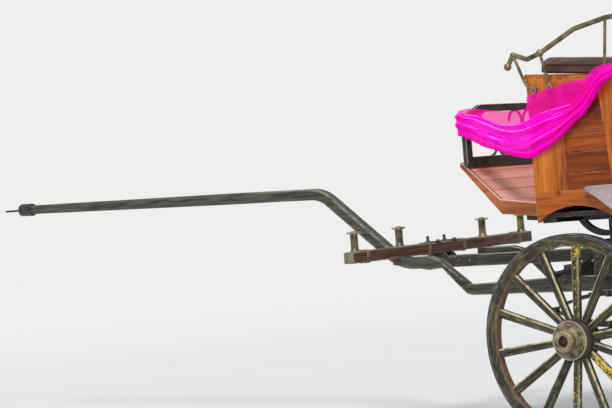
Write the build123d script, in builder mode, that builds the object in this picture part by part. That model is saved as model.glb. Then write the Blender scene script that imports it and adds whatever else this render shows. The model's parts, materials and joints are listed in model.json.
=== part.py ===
from build123d import *
from math import asin, atan2, cos, degrees, hypot, radians
import os

os.makedirs("parts", exist_ok=True)

# Horse-drawn carriage for a pair: cut-under body with two facing passenger seats,
# raised driver's seat, steering forecarriage on a turntable and a gooseneck pole.
# All sizes are millimetres. X points forward, Y to the left, Z up, Z = 0 is the ground.
# Places are measured from the ground under the front axle's centre.

# Overall layout
wheelbase = 2000
track = 1400
body_half_width = 500
pole_reach = 4450

# Wheels
front_wheel_diameter = 950
rear_wheel_diameter = 1120
front_spokes = 14
rear_spokes = 16
tyre_width = 50
tyre_thickness = 12
felloe_width = 44
felloe_height = 44
spoke_root_width = 33
spoke_root_depth = 34
spoke_tip_width = 41
spoke_tip_depth = 30
spoke_dish = 14
spoke_chamfer = 7
spoke_lean = 5
felloe_chamfer = 4
tyre_chamfer = 2
hub_radius = 95
hub_waist_radius = 82
hub_flange_radius = 88
hub_nose_radius = 43
hub_face_reach = 71
hub_rear_reach = 39
hub_nose_length = 52
hub_back_length = 30
hub_mouth_radius = 27
hub_mouth_depth = 26

# Fits
seat_gap = 0.3
arm_clearance = 0.4
ring_clearance = 0.5
door_gap = 6

# Axles
axle_bar = 44
arm_radius = 22
collar_radius = 36
collar_length = 18

# Springs
leaf_thickness = 6
leaf_width = 45
leaf_count = 4
clip_wall = 5
front_spring_y = 360
front_spring_span = 330
rear_spring_inset = 38
rear_spring_span = 430
rear_spring_top = 880

# Forecarriage
hound_y = 360
hound_width = 44
bed_top = 738
bed_bottom = 667
beam_width = 66
beam_bottom = 790
beam_top = 850
bar_x = 1220
bar_half_length = 760
bar_depth = 60
bar_bottom = 868
bar_top = 924
ring_radius = 290
ring_width = 46
ring_thickness = 18

# Pole
neck_foot = 1120
pole_width = 60
pole_height = 60
pole_corner = 12
neck_end = (2350, 1221)
shaft_start = (2600, 1226)
shaft_radius = 31
pole_tip_radius = 26
pole_tip_z = 1263

# Body
board_thickness = 28
frame_thickness = 32
plank_recess = 8
plank_gap = 2
panel_plank = 85
seam_width = 4
seam_depth = 3
chassis_bottom = 990
sill_bottom = 1000
sill_top = 1140
seat_front_top = 1665
seat_rear_top = 1605
box_front = 290
box_rear = -290
cheek_width = 180
passenger_seat_z = 1040
floor_top = 700
floor_thickness = 24
well_front = -870
well_rear = -1342
door_top = 1250
rear_panel_top = 1560
front_back_top = 1500
rear_back_top = 1540
body_rear = -wheelbase - 30
toe_top = (700, 1310)
toe_foot = (490, 1119)
floor_foot = (290, 1093)
dash_x = 670
dash_height = 300
dash_thickness = 22

# Wings
wing_gap = 45
wing_sheet = 6
wing_outer_y = 780
rear_wing_inner_y = 600
rear_wing_start = 15
rear_wing_end = 150
wing_stay_places = (-wheelbase + 250, -wheelbase + 15)
stay_radius = 8

# Worked out from the sizes above
front_wheel_radius = front_wheel_diameter / 2
rear_wheel_radius = rear_wheel_diameter / 2
rear_wing_radius = rear_wheel_radius + wing_gap + wing_sheet
rear_reach = wheelbase + rear_wing_radius * cos(radians(rear_wing_start))
axle_x = (rear_reach - pole_reach) / 2
hub_inner_z = -hub_rear_reach - spoke_dish - hub_back_length
hub_face_z = hub_face_reach - spoke_dish
hub_nose_z = hub_face_z + hub_nose_length
inner_face = body_half_width - frame_thickness
rear_spring_y = inner_face - rear_spring_inset
ring_bottom = beam_top + seat_gap
ring_top = ring_bottom + ring_thickness
top_ring_bottom = ring_top + ring_clearance
top_ring_top = top_ring_bottom + ring_thickness


def side_plane(y):
    """A drawing plane along the carriage at y, seen from the right, X forward and Z up."""
    return Plane(origin=(axle_x, y, 0), x_dir=(1, 0, 0), z_dir=(0, -1, 0))


def level_plane(z):
    """A level drawing plane at height z, with X forward and Y to the left."""
    return Plane(origin=(axle_x, 0, z), x_dir=(1, 0, 0), z_dir=(0, 0, 1))


def cross_plane(x):
    """A drawing plane across the carriage at x, with Y to the left and Z up."""
    return Plane(origin=(axle_x + x, 0, 0), x_dir=(0, 1, 0), z_dir=(1, 0, 0))


def save(piece, label):
    """Name a finished piece and write it."""
    piece.label = label
    export_step(piece, f"parts/{label}.step")


def seat_line(x):
    """Height of the driver's box's sloping top edge at x."""
    return seat_rear_top + (seat_front_top - seat_rear_top) * (x - box_rear) / (box_front - box_rear)


def add_board(x, y, z, mode=Mode.ADD):
    """A straight board that fills the ranges x, y and z, each (low, high)."""
    centre = (axle_x + (x[0] + x[1]) / 2, (y[0] + y[1]) / 2, (z[0] + z[1]) / 2)
    with Locations(centre):
        Box(x[1] - x[0], y[1] - y[0], z[1] - z[0], mode=mode)


def add_side_plate(points, y_outer, thickness, mode=Mode.ADD):
    """A plate with a straight-sided outline in side view, from y_outer towards the right."""
    with BuildSketch(side_plane(y_outer)) as outline:
        with BuildLine():
            Polyline(*points, close=True)
        make_face()
    extrude(outline.sketch, amount=thickness, mode=mode)


def add_arc_band(centre, inner, outer, start, sweep_angle, y_outer, width):
    """A band between two arcs about one centre in side view, from y_outer towards the right."""
    with BuildSketch(side_plane(y_outer)) as outline:
        with BuildLine():
            low = CenterArc(centre, inner, start, sweep_angle)
            high = CenterArc(centre, outer, start, sweep_angle)
            Line(low @ 0, high @ 0)
            Line(low @ 1, high @ 1)
        make_face()
    extrude(outline.sketch, amount=width)


def add_rod(points, radius, bend_radius):
    """A round rod that follows points (x, y, z), with a bend of one radius at each corner."""
    route = [(axle_x + x, y, z) for x, y, z in points]
    with BuildLine() as path:
        if len(route) > 2:
            FilletPolyline(*route, radius=bend_radius)
        else:
            Line(*route)
    start = path.line
    with BuildSketch(Plane(origin=start @ 0, z_dir=start % 0)) as section:
        Circle(radius)
    sweep(section.sketch, path=path.line)


def add_planked_recess(points, side):
    """A recess of level planks in the outer face of one side, with its outline in side view."""
    recess = sorted((side * body_half_width, side * (body_half_width - plank_recess)))
    add_side_plate(points, recess[1], plank_recess, mode=Mode.SUBTRACT)
    floor = side * (body_half_width - plank_recess)
    seam = sorted((floor, floor - side * seam_depth))
    low = min(z for x, z in points)
    high = max(z for x, z in points)
    middle = sum(x for x, z in points) / len(points)
    with BuildSketch(side_plane(seam[1])) as seams:
        for count in range(1, int((high - low - seam_width) / panel_plank) + 1):
            with Locations((middle, low + count * panel_plank)):
                Rectangle(2 * body_half_width, seam_width)
        with BuildLine():
            Polyline(*points, close=True)
        make_face(mode=Mode.INTERSECT)
    extrude(seams.sketch, amount=seam_depth, mode=Mode.SUBTRACT)


# Wheels
def make_wheel(name, x, side, radius, spokes):
    """One dished wooden wheel with its hub, lying outwards from the rim's middle plane."""
    wheel_plane = Plane(
        origin=(axle_x + x, side * track / 2, radius), x_dir=(0, 0, 1), z_dir=(0, side, 0)
    )
    rim_outer = radius - tyre_thickness - seat_gap
    rim_inner = rim_outer - felloe_height

    with BuildPart() as tyre:
        with BuildSketch(wheel_plane):
            Circle(radius)
            Circle(radius - tyre_thickness, mode=Mode.SUBTRACT)
        extrude(amount=tyre_width / 2, both=True)
        tread_edges = tyre.edges().filter_by(GeomType.CIRCLE).group_by(SortBy.RADIUS)[-1]
        chamfer(tread_edges, length=tyre_chamfer)
    save(tyre.part, f"{name}_tyre")

    root_reach = hub_radius + seat_gap
    tip_reach = rim_inner - seat_gap
    # columns: distance from the hub's centre, outward shift, half width, half depth
    stations = (
        (root_reach - 6, -spoke_dish, spoke_root_width / 2, spoke_root_depth / 2),
        (tip_reach + 6, 0, spoke_tip_width / 2, spoke_tip_depth / 2),
    )
    width_plane = wheel_plane
    depth_plane = Plane(
        origin=wheel_plane.origin, x_dir=wheel_plane.x_dir, z_dir=-wheel_plane.y_dir
    )
    width_side = [(r, half) for r, shift, half, depth in stations]
    outer_side = [(r, shift + depth) for r, shift, half, depth in stations]
    inner_side = [(r, shift - depth) for r, shift, half, depth in stations]
    with BuildPart() as spoke:
        with BuildSketch(width_plane):
            with BuildLine():
                Polyline(*width_side, *[(r, -half) for r, half in reversed(width_side)], close=True)
            make_face()
        extrude(amount=spoke_root_depth, both=True)
        with BuildSketch(depth_plane):
            with BuildLine():
                Polyline(*outer_side, *reversed(inner_side), close=True)
            make_face()
        extrude(amount=spoke_root_width, both=True, mode=Mode.INTERSECT)
        long_edges = spoke.edges().sort_by(SortBy.LENGTH)[-4:]
        chamfer(long_edges, length=spoke_chamfer)
        with BuildSketch(wheel_plane):
            Circle(radius)
            Circle(tip_reach, mode=Mode.SUBTRACT)
            Circle(root_reach)
        extrude(amount=track / 4, both=True, mode=Mode.SUBTRACT)
    axis = Axis(wheel_plane.origin, wheel_plane.z_dir)
    with BuildPart() as spoke_set:
        for index in range(spokes):
            add(spoke.part.rotate(axis, index * 360 / spokes - side * spoke_lean))
    save(spoke_set.part, f"{name}_spokes")

    with BuildPart() as felloe:
        with BuildSketch(wheel_plane):
            Circle(rim_outer)
            Circle(rim_inner, mode=Mode.SUBTRACT)
        extrude(amount=felloe_width / 2, both=True)
        inner_edges = felloe.edges().filter_by(GeomType.CIRCLE).group_by(SortBy.RADIUS)[0]
        chamfer(inner_edges, length=felloe_chamfer)
    save(felloe.part, f"{name}_felloe")

    bore = arm_radius + arm_clearance
    barrel_back = hub_inner_z + hub_back_length
    mouth = hub_nose_z - hub_mouth_depth
    # columns: radius, distance outwards from the rim's middle plane
    outline = (
        (bore, hub_inner_z),
        (hub_nose_radius + 8, hub_inner_z),
        (hub_nose_radius + 14, barrel_back - 8),
        (hub_radius, barrel_back),
        (hub_radius, barrel_back + 2 * hub_rear_reach),
        (hub_waist_radius, hub_face_z - 14),
        (hub_waist_radius, hub_face_z - 10),
        (hub_flange_radius, hub_face_z - 10),
        (hub_flange_radius, hub_face_z),
        (hub_nose_radius + 12, hub_face_z + 2),
        (hub_nose_radius, hub_face_z + 10),
        (hub_nose_radius, hub_nose_z - 20),
        (hub_nose_radius + 5, hub_nose_z - 17),
        (hub_nose_radius + 5, hub_nose_z - 3),
        (hub_nose_radius + 2, hub_nose_z),
        (hub_mouth_radius, hub_nose_z),
        (hub_mouth_radius, mouth),
        (bore, mouth),
    )
    hub_plane = Plane(origin=wheel_plane.origin, x_dir=(0, 0, 1), z_dir=(-side, 0, 0))
    with BuildPart() as hub:
        with BuildSketch(hub_plane):
            with BuildLine():
                Polyline(*outline, close=True)
            make_face()
        revolve(axis=axis)
    save(hub.part, f"{name}_hub")


for name, x, side, radius, spokes in (
    ("front_left_wheel", 0, 1, front_wheel_radius, front_spokes),
    ("front_right_wheel", 0, -1, front_wheel_radius, front_spokes),
    ("rear_left_wheel", -wheelbase, 1, rear_wheel_radius, rear_spokes),
    ("rear_right_wheel", -wheelbase, -1, rear_wheel_radius, rear_spokes),
):
    make_wheel(name, x, side, radius, spokes)


# Axles
def make_axle(name, x, z):
    """A square axle bar with a collar and a turned arm at each end."""
    arm_end = track / 2 + hub_nose_z - hub_mouth_depth + 10
    collar_end = track / 2 + hub_inner_z - 1
    with BuildPart() as axle:
        bar_end = collar_end - collar_length
        add_board(
            (x - axle_bar / 2, x + axle_bar / 2),
            (-bar_end, bar_end),
            (z - axle_bar / 2, z + axle_bar / 2),
        )
        with BuildSketch(Plane(origin=(axle_x + x, 0, z), x_dir=(1, 0, 0), z_dir=(0, -1, 0))):
            Circle(arm_radius)
        extrude(amount=arm_end, both=True)
        for side in (1, -1):
            collar_plane = Plane(
                origin=(axle_x + x, side * bar_end, z), x_dir=(1, 0, 0), z_dir=(0, side, 0)
            )
            with BuildSketch(collar_plane):
                Circle(collar_radius)
            extrude(amount=collar_length)
    save(axle.part, name)


make_axle("front_axle", 0, front_wheel_radius)
make_axle("rear_axle", -wheelbase, rear_wheel_radius)


# Springs
def make_springs(name, x, y, low, high, span):
    """A full elliptic spring on each side, between the heights low and high."""
    middle = (low + high) / 2
    pack = leaf_count * leaf_thickness
    rise = (high - low) / 2 - pack
    radius = (span * span + rise * rise) / (2 * rise)
    with BuildPart() as springs:
        for upward in (1, -1):
            centre = (x, middle + upward * (rise - radius))
            for leaf in range(leaf_count):
                reach = span * (1 - 0.21 * leaf)
                inner = radius + leaf * leaf_thickness
                half_angle = degrees(asin(reach / inner))
                add_arc_band(
                    centre,
                    inner,
                    inner + leaf_thickness,
                    upward * 90 - half_angle,
                    2 * half_angle,
                    y + leaf_width / 2,
                    leaf_width,
                )
        for end in (span, -span):
            eye_plane = Plane(
                origin=(axle_x + x + end, y + leaf_width / 2, middle),
                x_dir=(1, 0, 0),
                z_dir=(0, -1, 0),
            )
            with BuildSketch(eye_plane):
                Circle(14)
            extrude(amount=leaf_width)
        clip_half = leaf_width / 2 + clip_wall
        for z_range in (
            (low + seat_gap, low + pack + clip_wall),
            (high - pack - clip_wall, high - seat_gap),
        ):
            add_board((x - clip_half, x + clip_half), (y - clip_half, y + clip_half), z_range)
        mirror(about=Plane.XZ)
    save(springs.part, name)


front_spring_low = front_wheel_radius + axle_bar / 2
rear_spring_low = rear_wheel_radius + axle_bar / 2
make_springs("front_springs", 0, front_spring_y, front_spring_low, bed_bottom, front_spring_span)
make_springs(
    "rear_springs", -wheelbase, rear_spring_y, rear_spring_low, rear_spring_top, rear_spring_span
)

# Forecarriage: hounds
hound_outline = (
    (-350, bed_top),
    (270, bed_top),
    (620, 726),
    (800, 720),
    (975, 851),
    (1040, bar_bottom),
    (1250, bar_bottom),
    (1250, 833),
    (1030, 800),
    (950, 806),
    (812, 676),
    (780, 668),
    (270, bed_bottom),
    (-350, bed_bottom),
)
with BuildPart() as hounds:
    add_side_plate(hound_outline, hound_y + hound_width / 2, hound_width)
    mirror(about=Plane.XZ)
save(hounds.part, "hounds")

# Forecarriage: bolster that carries the turntable
with BuildPart() as bolster:
    add_board((-55, 55), (-hound_y - 60, hound_y + 60), (bed_top, beam_top))
    tenon_half = hound_y - hound_width / 2 - seat_gap
    for x in (-255, 255):
        add_board((x - 30, x + 30), (-tenon_half, tenon_half), (bed_bottom + 15, bed_top))
        add_board((x - 30, x + 30), (-tenon_half + 15, tenon_half - 15), (bed_top, beam_bottom))
    beam_slot = beam_width / 2 + seat_gap
    add_board((-60, 60), (-beam_slot, beam_slot), (beam_bottom, beam_top), mode=Mode.SUBTRACT)
    with BuildSketch(level_plane(bed_top)):
        Circle(17)
    extrude(amount=beam_top - bed_top, mode=Mode.SUBTRACT)
save(bolster.part, "bolster")

# Forecarriage: centre beam
with BuildPart() as centre_beam:
    add_board((-300, neck_foot), (-beam_width / 2, beam_width / 2), (beam_bottom, beam_top))
    with BuildSketch(level_plane(beam_bottom)):
        Circle(17)
    extrude(amount=beam_top - beam_bottom, mode=Mode.SUBTRACT)
save(centre_beam.part, "centre_beam")

# Forecarriage: lower ring of the turntable
with BuildPart() as lower_ring:
    with BuildSketch(level_plane(ring_bottom)):
        Circle(ring_radius)
        Circle(ring_radius - ring_width, mode=Mode.SUBTRACT)
    extrude(amount=ring_thickness)
save(lower_ring.part, "turntable_lower_ring")

# Forecarriage: curved stays from the hounds up to the ring, each with a foot on the hound
ring_stay_radius = 10
ring_stay_route = ((338, 361, 749), (283, 358, 757), (208, 348, 775), (119, 282, 828), (102, 270, 839))
with BuildPart() as ring_stays:
    add_rod(ring_stay_route, ring_stay_radius, 12)
    add_board(
        (290, 350),
        (hound_y - hound_width / 2 + 2, hound_y + hound_width / 2 - 2),
        (bed_top + seat_gap, bed_top + 7),
    )
    mirror(about=Plane.XZ)
    mirror(about=Plane.YZ.offset(axle_x))
save(ring_stays.part, "turntable_stays")

# Forecarriage: splinter bar
with BuildPart() as splinter_bar:
    add_board(
        (bar_x - bar_depth / 2, bar_x + bar_depth / 2),
        (-bar_half_length, bar_half_length),
        (bar_bottom, bar_top),
    )
    chamfer(splinter_bar.edges().filter_by(Axis.Y), length=5)
save(splinter_bar.part, "splinter_bar")

# Forecarriage: roller bolts for the traces
roller_height = 95
roller_post_radius = 19
roller_cap_radius = 35
roller_places = (-710, -355, 355, 710)
# columns: radius, height above the bar
roller_outline = (
    (0, 0),
    (roller_post_radius + 6, 0),
    (roller_post_radius + 4, 6),
    (roller_post_radius, 14),
    (roller_post_radius, roller_height - 12),
    (roller_cap_radius, roller_height - 6),
    (roller_cap_radius, roller_height),
    (0, roller_height),
)
with BuildPart() as roller_bolts:
    for y in roller_places:
        roller_plane = Plane(
            origin=(axle_x + bar_x, y, bar_top), x_dir=(1, 0, 0), z_dir=(0, -1, 0)
        )
        with BuildSketch(roller_plane) as section:
            with BuildLine():
                Polyline(*roller_outline, close=True)
            make_face()
        revolve(section.sketch, axis=Axis((axle_x + bar_x, y, bar_top), (0, 0, 1)))
save(roller_bolts.part, "roller_bolts")

# Forecarriage: iron straps that hold the pole and carry the bar's middle
strap_thickness = 6
strap_y = beam_width / 2 + strap_thickness
with BuildPart() as pole_straps:
    add_side_plate(
        ((1000, 800), (1180, 800), (1290, 815), (1290, bar_bottom), (1180, bar_bottom), (1160, 842),
         (1000, 842)),
        strap_y,
        strap_thickness,
    )
    mirror(about=Plane.XZ)
save(pole_straps.part, "pole_straps")

# Pole: a gooseneck that rises over the bar, then a tapered shaft
neck_level = (beam_bottom + beam_top) / 2
neck_route = ((neck_foot + seat_gap, neck_level), (1482, neck_level), (1985, 1213), neck_end)
neck_radii = (250, 200)
with BuildPart() as pole:
    with BuildLine(side_plane(0)) as neck_line:
        FilletPolyline(*neck_route, radius=neck_radii)
    neck = neck_line.line
    with BuildSketch(Plane(origin=neck @ 0, x_dir=(0, 1, 0), z_dir=neck % 0)) as neck_section:
        RectangleRounded(pole_width, pole_height, pole_corner)
    sweep(neck_section.sketch, path=neck)
    tip_x = pole_reach - 120
    shaft_sections = []
    # columns: x, z, width, height, corner radius
    for x, z, width, height, corner in (
        (*neck_end, pole_width, pole_height, pole_corner),
        (*shaft_start, 2 * shaft_radius, 2 * shaft_radius, 0.7 * shaft_radius),
        (tip_x, pole_tip_z, 2 * pole_tip_radius, 2 * pole_tip_radius, 0.7 * pole_tip_radius),
    ):
        with BuildSketch(
            Plane(origin=(axle_x + x, 0, z), x_dir=(0, 1, 0), z_dir=neck % 1)
        ) as shaft_section:
            RectangleRounded(width, height, corner)
        shaft_sections.append(shaft_section.sketch)
    loft(shaft_sections, ruled=True)
save(pole.part, "pole")

# Pole head: a ferrule with a plate and two eyes for the pole straps
ferrule_wall = 6
ferrule_cover = 60
eye_radius = 16
eye_wall = 12
eye_y = 46
eye_plate = 12
eye_x = pole_reach - eye_radius - eye_wall
with BuildPart() as pole_head:
    head_plane = Plane(
        origin=(axle_x + tip_x, 0, pole_tip_z), x_dir=(0, 1, 0), z_dir=neck % 1
    )
    with BuildSketch(head_plane.offset(-ferrule_cover)):
        Circle(pole_tip_radius + 5 + ferrule_wall)
    extrude(amount=ferrule_cover + 30)
    with BuildSketch(head_plane.offset(-ferrule_cover)):
        Circle(pole_tip_radius + 5)
    extrude(amount=ferrule_cover + seat_gap, mode=Mode.SUBTRACT)
    with BuildSketch(level_plane(pole_tip_z - eye_plate / 2)):
        for side in (1, -1):
            with Locations((eye_x, side * eye_y)):
                Circle(eye_radius + eye_wall)
        with Locations(((tip_x + 15 + eye_x) / 2, 0)):
            Rectangle(eye_x - tip_x - 15, 2 * eye_y)
        for side in (1, -1):
            with Locations((eye_x, side * eye_y)):
                Circle(eye_radius, mode=Mode.SUBTRACT)
    extrude(amount=eye_plate)
save(pole_head.part, "pole_head")

# Body: upper half of the turntable with its kingpin and curved brackets to the chassis
chassis_y = 220
bracket_centre = (89, 1092)
bracket_radius = 180
bracket_depth = 26
with BuildPart() as upper_turntable:
    add_arc_band(
        bracket_centre, bracket_radius - bracket_depth, bracket_radius, -106, 80, chassis_y + 15, 30
    )
    mirror(about=Plane.XZ)
    mirror(about=Plane.YZ.offset(axle_x))
    add_board(
        (-bracket_radius * 2, bracket_radius * 2),
        (-body_half_width, body_half_width),
        (chassis_bottom - seat_gap, chassis_bottom + bracket_radius),
        mode=Mode.SUBTRACT,
    )
    with BuildSketch(level_plane(top_ring_bottom)):
        Circle(ring_radius)
        Circle(ring_radius - ring_width, mode=Mode.SUBTRACT)
    extrude(amount=ring_thickness)
    add_board((-45, 45), (-ring_radius + 10, ring_radius - 10), (top_ring_top, chassis_bottom))
    with BuildSketch(level_plane(bed_top - 30)):
        Circle(16)
    extrude(amount=chassis_bottom - bed_top + 30)
save(upper_turntable.part, "turntable_upper_ring")

# Body: chassis beams under the driver's seat, with the floor they carry
chassis_outline = (
    (well_front, chassis_bottom),
    (box_front + 10, chassis_bottom),
    (toe_foot[0] + 30, chassis_bottom + 20),
    (toe_foot[0] + 30, toe_foot[1] - 28),
    (toe_foot[0] + 5, toe_foot[1] - 26),
    (box_front + 1, floor_foot[1] - 26),
    (box_front + 1, passenger_seat_z),
    (well_front, passenger_seat_z),
)
with BuildPart() as chassis_beams:
    add_side_plate(chassis_outline, chassis_y + 30, 60)
    mirror(about=Plane.XZ)
    add_board(
        (box_rear + 32, box_front - 8),
        (-inner_face + 1, inner_face - 1),
        (passenger_seat_z - 22, passenger_seat_z - seat_gap),
    )
    add_board((-45, 45), (-chassis_y, chassis_y), (chassis_bottom, passenger_seat_z - seat_gap))
    add_board(
        (box_front - 80, box_front - 8),
        (-inner_face + 1, inner_face - 1),
        (chassis_bottom + 5, passenger_seat_z - seat_gap),
    )
    add_board(
        (-wheelbase - 40, -wheelbase + 40),
        (-inner_face, inner_face),
        (rear_spring_top, sill_bottom),
    )
    for side in (1, -1):
        y_range = (side * rear_spring_y - 25, side * rear_spring_y + 25)
        add_board((-wheelbase - 30, well_rear), y_range, (955, sill_bottom))
save(chassis_beams.part, "chassis_beams")

# Body: side frames round the driver's box and the seat behind it
front_side_outline = (
    (box_front, sill_bottom),
    (box_front, seat_front_top),
    (box_rear, seat_rear_top),
    (box_rear - 60, 1340),
    (-800, 1300),
    (well_front, door_top),
    (well_front, floor_top - floor_thickness),
    (well_front + 60, floor_top - floor_thickness),
    (well_front + 100, sill_bottom - 15),
    (-110, sill_bottom - 15),
)
wing_panel = ((-800, 1165), (-330, 1165), (-330, 1290), (-800, 1255))
window_top = seat_rear_top - 20
window_front = box_front - cheek_width


def window_rear(z):
    """Place along x of the window's leaning rear edge at height z."""
    lean = (z - sill_top) / (window_top - sill_top)
    return box_rear + cheek_width - 22 + 38 * lean


with BuildPart() as front_side_frames:
    add_side_plate(front_side_outline, body_half_width, frame_thickness)
    add_side_plate(
        ((window_front, sill_top), (window_front, window_top), (window_rear(window_top), window_top),
         (window_rear(sill_top), sill_top)),
        body_half_width,
        frame_thickness,
        mode=Mode.SUBTRACT,
    )
    with BuildSketch(side_plane(body_half_width)) as arch:
        with BuildLine():
            arch_curve = ThreePointArc((286, 1003), (80, 1068), (-149, 985))
            Polyline(arch_curve @ 0, (286, 970), (-149, 970), arch_curve @ 1)
        make_face()
    extrude(arch.sketch, amount=frame_thickness, mode=Mode.SUBTRACT)
    add_planked_recess(wing_panel, 1)
    mirror(about=Plane.XZ)
save(front_side_frames.part, "front_side_frames")

# Body: side frames round the rear seat
rear_side_outline = (
    (well_rear, floor_top - floor_thickness),
    (well_rear, door_top),
    (well_rear - 80, 1300),
    (body_rear + 250, 1360),
    (body_rear, rear_panel_top),
    (body_rear, sill_bottom),
    (well_rear - 120, sill_bottom - 15),
    (well_rear - 60, floor_top - floor_thickness),
)
rear_panel_outline = (
    (well_rear - 95, 1075),
    (well_rear - 95, 1235),
    (body_rear + 250, 1290),
    (body_rear + 75, 1430),
    (body_rear + 75, 1075),
)
with BuildPart() as rear_side_frames:
    add_side_plate(rear_side_outline, body_half_width, frame_thickness)
    add_planked_recess(rear_panel_outline, 1)
    mirror(about=Plane.XZ)
save(rear_side_frames.part, "rear_side_frames")

# Body: planks in the driver's box windows
plank_tops = (1219, 1314, 1410, 1500, window_top)
with BuildPart() as side_planks:
    low = sill_top + seat_gap
    for plank_top in plank_tops:
        high = plank_top - plank_gap
        add_side_plate(
            ((window_front - seat_gap, low), (window_front - seat_gap, high),
             (window_rear(high) + seat_gap, high), (window_rear(low) + seat_gap, low)),
            body_half_width - plank_recess,
            frame_thickness - plank_recess,
        )
        low = plank_top + seat_gap
    upper_edges = side_planks.edges().filter_by(Axis.X).group_by(Axis.Y)[-1]
    chamfer(upper_edges, length=2)
    mirror(about=Plane.XZ)
save(side_planks.part, "side_planks")

# Body: toe board and footwell floor, of boards laid across with a groove at each seam
board_half = body_half_width - board_thickness
groove_side = 5
# columns: the line's lower end, its upper end, share of the way up
toe_seams = (
    (floor_foot, toe_foot, 0.5),
    (toe_foot, toe_top, 0.25),
    (toe_foot, toe_top, 0.5),
    (toe_foot, toe_top, 0.75),
)
with BuildPart() as toe_board:
    add_side_plate(
        (toe_top, toe_foot, floor_foot, (floor_foot[0], floor_foot[1] - 24),
         (toe_foot[0] + 9, toe_foot[1] - 24), (toe_top[0] + 16, toe_top[1] - 18)),
        board_half,
        2 * board_half,
    )
    with BuildSketch(side_plane(board_half)) as grooves:
        for lower, upper, share in toe_seams:
            run = upper[0] - lower[0]
            rise = upper[1] - lower[1]
            with Locations((lower[0] + share * run, lower[1] + share * rise)):
                Rectangle(groove_side, groove_side, rotation=degrees(atan2(rise, run)) + 45)
    extrude(grooves.sketch, amount=2 * board_half, mode=Mode.SUBTRACT)
save(toe_board.part, "toe_board")

with BuildPart() as toe_rails:
    add_side_plate(
        (toe_top, toe_foot, floor_foot, (floor_foot[0], floor_foot[1] - 61),
         (toe_foot[0] - 5, toe_foot[1] - 67), (toe_top[0] + 8, toe_top[1] - 19)),
        body_half_width,
        board_thickness - seat_gap,
    )
    mirror(about=Plane.XZ)
save(toe_rails.part, "toe_rails")

# Body: dash frame with openwork of S-shaped scrolls, seated on the sloping toe board
dash_post = 45
dash_bottom_rail = 22
dash_top_rail = 34
dash_corner = 140
dash_corner_drop = 56
dash_bottom = toe_top[1] - 30
dash_top = dash_bottom + dash_height
scroll_count = 4
scroll_bar = 10
scroll_depth = 8
with BuildPart() as dash:
    opening_bottom = dash_bottom + 30 + dash_bottom_rail
    opening_top = dash_top - dash_top_rail
    opening_half = body_half_width - dash_post
    with BuildSketch(cross_plane(dash_x)) as dash_face:
        with BuildLine():
            Polyline(
                (-body_half_width, dash_bottom),
                (body_half_width, dash_bottom),
                (body_half_width, dash_top - dash_corner_drop),
                (body_half_width - dash_corner, dash_top),
                (-body_half_width + dash_corner, dash_top),
                (-body_half_width, dash_top - dash_corner_drop),
                close=True,
            )
        make_face()
        with BuildLine():
            Polyline(
                (-opening_half, opening_bottom),
                (opening_half, opening_bottom),
                (opening_half, opening_top - dash_corner_drop),
                (opening_half - dash_corner, opening_top),
                (-opening_half + dash_corner, opening_top),
                (-opening_half, opening_top - dash_corner_drop),
                close=True,
            )
        make_face(mode=Mode.SUBTRACT)
    extrude(amount=dash_thickness / 2, both=True)
    scroll_pitch = 2 * opening_half / scroll_count
    scroll_radius = (opening_top - opening_bottom) / 4
    scroll_middle = (opening_top + opening_bottom) / 2
    for index in range(scroll_count):
        y = -opening_half + (index + 0.5) * scroll_pitch
        lean = 1 if index % 2 else -1
        with BuildSketch(cross_plane(dash_x)) as scroll:
            for side in (1, -1):
                centre = (y + side * lean * scroll_radius, scroll_middle + side * scroll_radius)
                with BuildLine() as curl:
                    CenterArc(centre, scroll_radius, 180 if side * lean > 0 else 0, side * lean * -270)
                trace(line_width=scroll_bar)
        extrude(scroll.sketch, amount=scroll_depth / 2, both=True)
    add_side_plate(
        ((toe_top[0] + 100, toe_top[1] + 91), (toe_foot[0], toe_foot[1]), (toe_foot[0], 900),
         (toe_top[0] + 100, 900)),
        body_half_width + 1,
        2 * body_half_width + 2,
        mode=Mode.SUBTRACT,
    )
save(dash.part, "dash")

# Body: boards across the driver's box
with BuildPart() as driver_box:
    for x in (box_front - 40, box_rear + 20):
        add_board(
            (x - 10, x + 10), (-inner_face, inner_face), (passenger_seat_z, seat_line(x - 10) - 2)
        )
    front_face = box_front - 30
    for z in plank_tops[:-1]:
        add_board(
            (front_face - seam_depth, front_face),
            (-inner_face, inner_face),
            (z - seam_width / 2, z + seam_width / 2),
            mode=Mode.SUBTRACT,
        )
save(driver_box.part, "driver_box")

# Body: driver's seat board, which slopes back with the frames' top edge
seat_nosing = 8
seat_board_thickness = 24
with BuildPart() as driver_seat:
    front_x = box_front + seat_nosing
    rear_x = box_rear - seat_nosing
    add_side_plate(
        ((front_x, seat_line(front_x)), (front_x, seat_line(front_x) + seat_board_thickness),
         (rear_x, seat_line(rear_x) + seat_board_thickness), (rear_x, seat_line(rear_x))),
        body_half_width,
        2 * body_half_width,
    )
    front_edges = driver_seat.edges().filter_by(Axis.Y).group_by(Axis.X)[-1]
    fillet(front_edges, radius=seat_nosing)
save(driver_seat.part, "driver_seat_board")

# Body: driver's cushion
cushion_inset = 40
cushion_clear = 1
with BuildPart() as driver_cushion:
    front_x = box_front - 20
    rear_x = box_rear + 50
    cushion_base = seat_board_thickness + cushion_clear
    add_side_plate(
        ((front_x, seat_line(front_x) + cushion_base), (front_x, seat_line(front_x) + 100),
         (rear_x, seat_line(rear_x) + 80), (rear_x, seat_line(rear_x) + cushion_base)),
        body_half_width - cushion_inset,
        2 * (body_half_width - cushion_inset),
    )
save(driver_cushion.part, "driver_cushion")

# Body: hand rails beside the driver's seat, joined by a rail across its back
rail_radius = 11.5
post_radius = 7
rail_y = body_half_width + rail_radius + 1
foot_radius = 15
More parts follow.
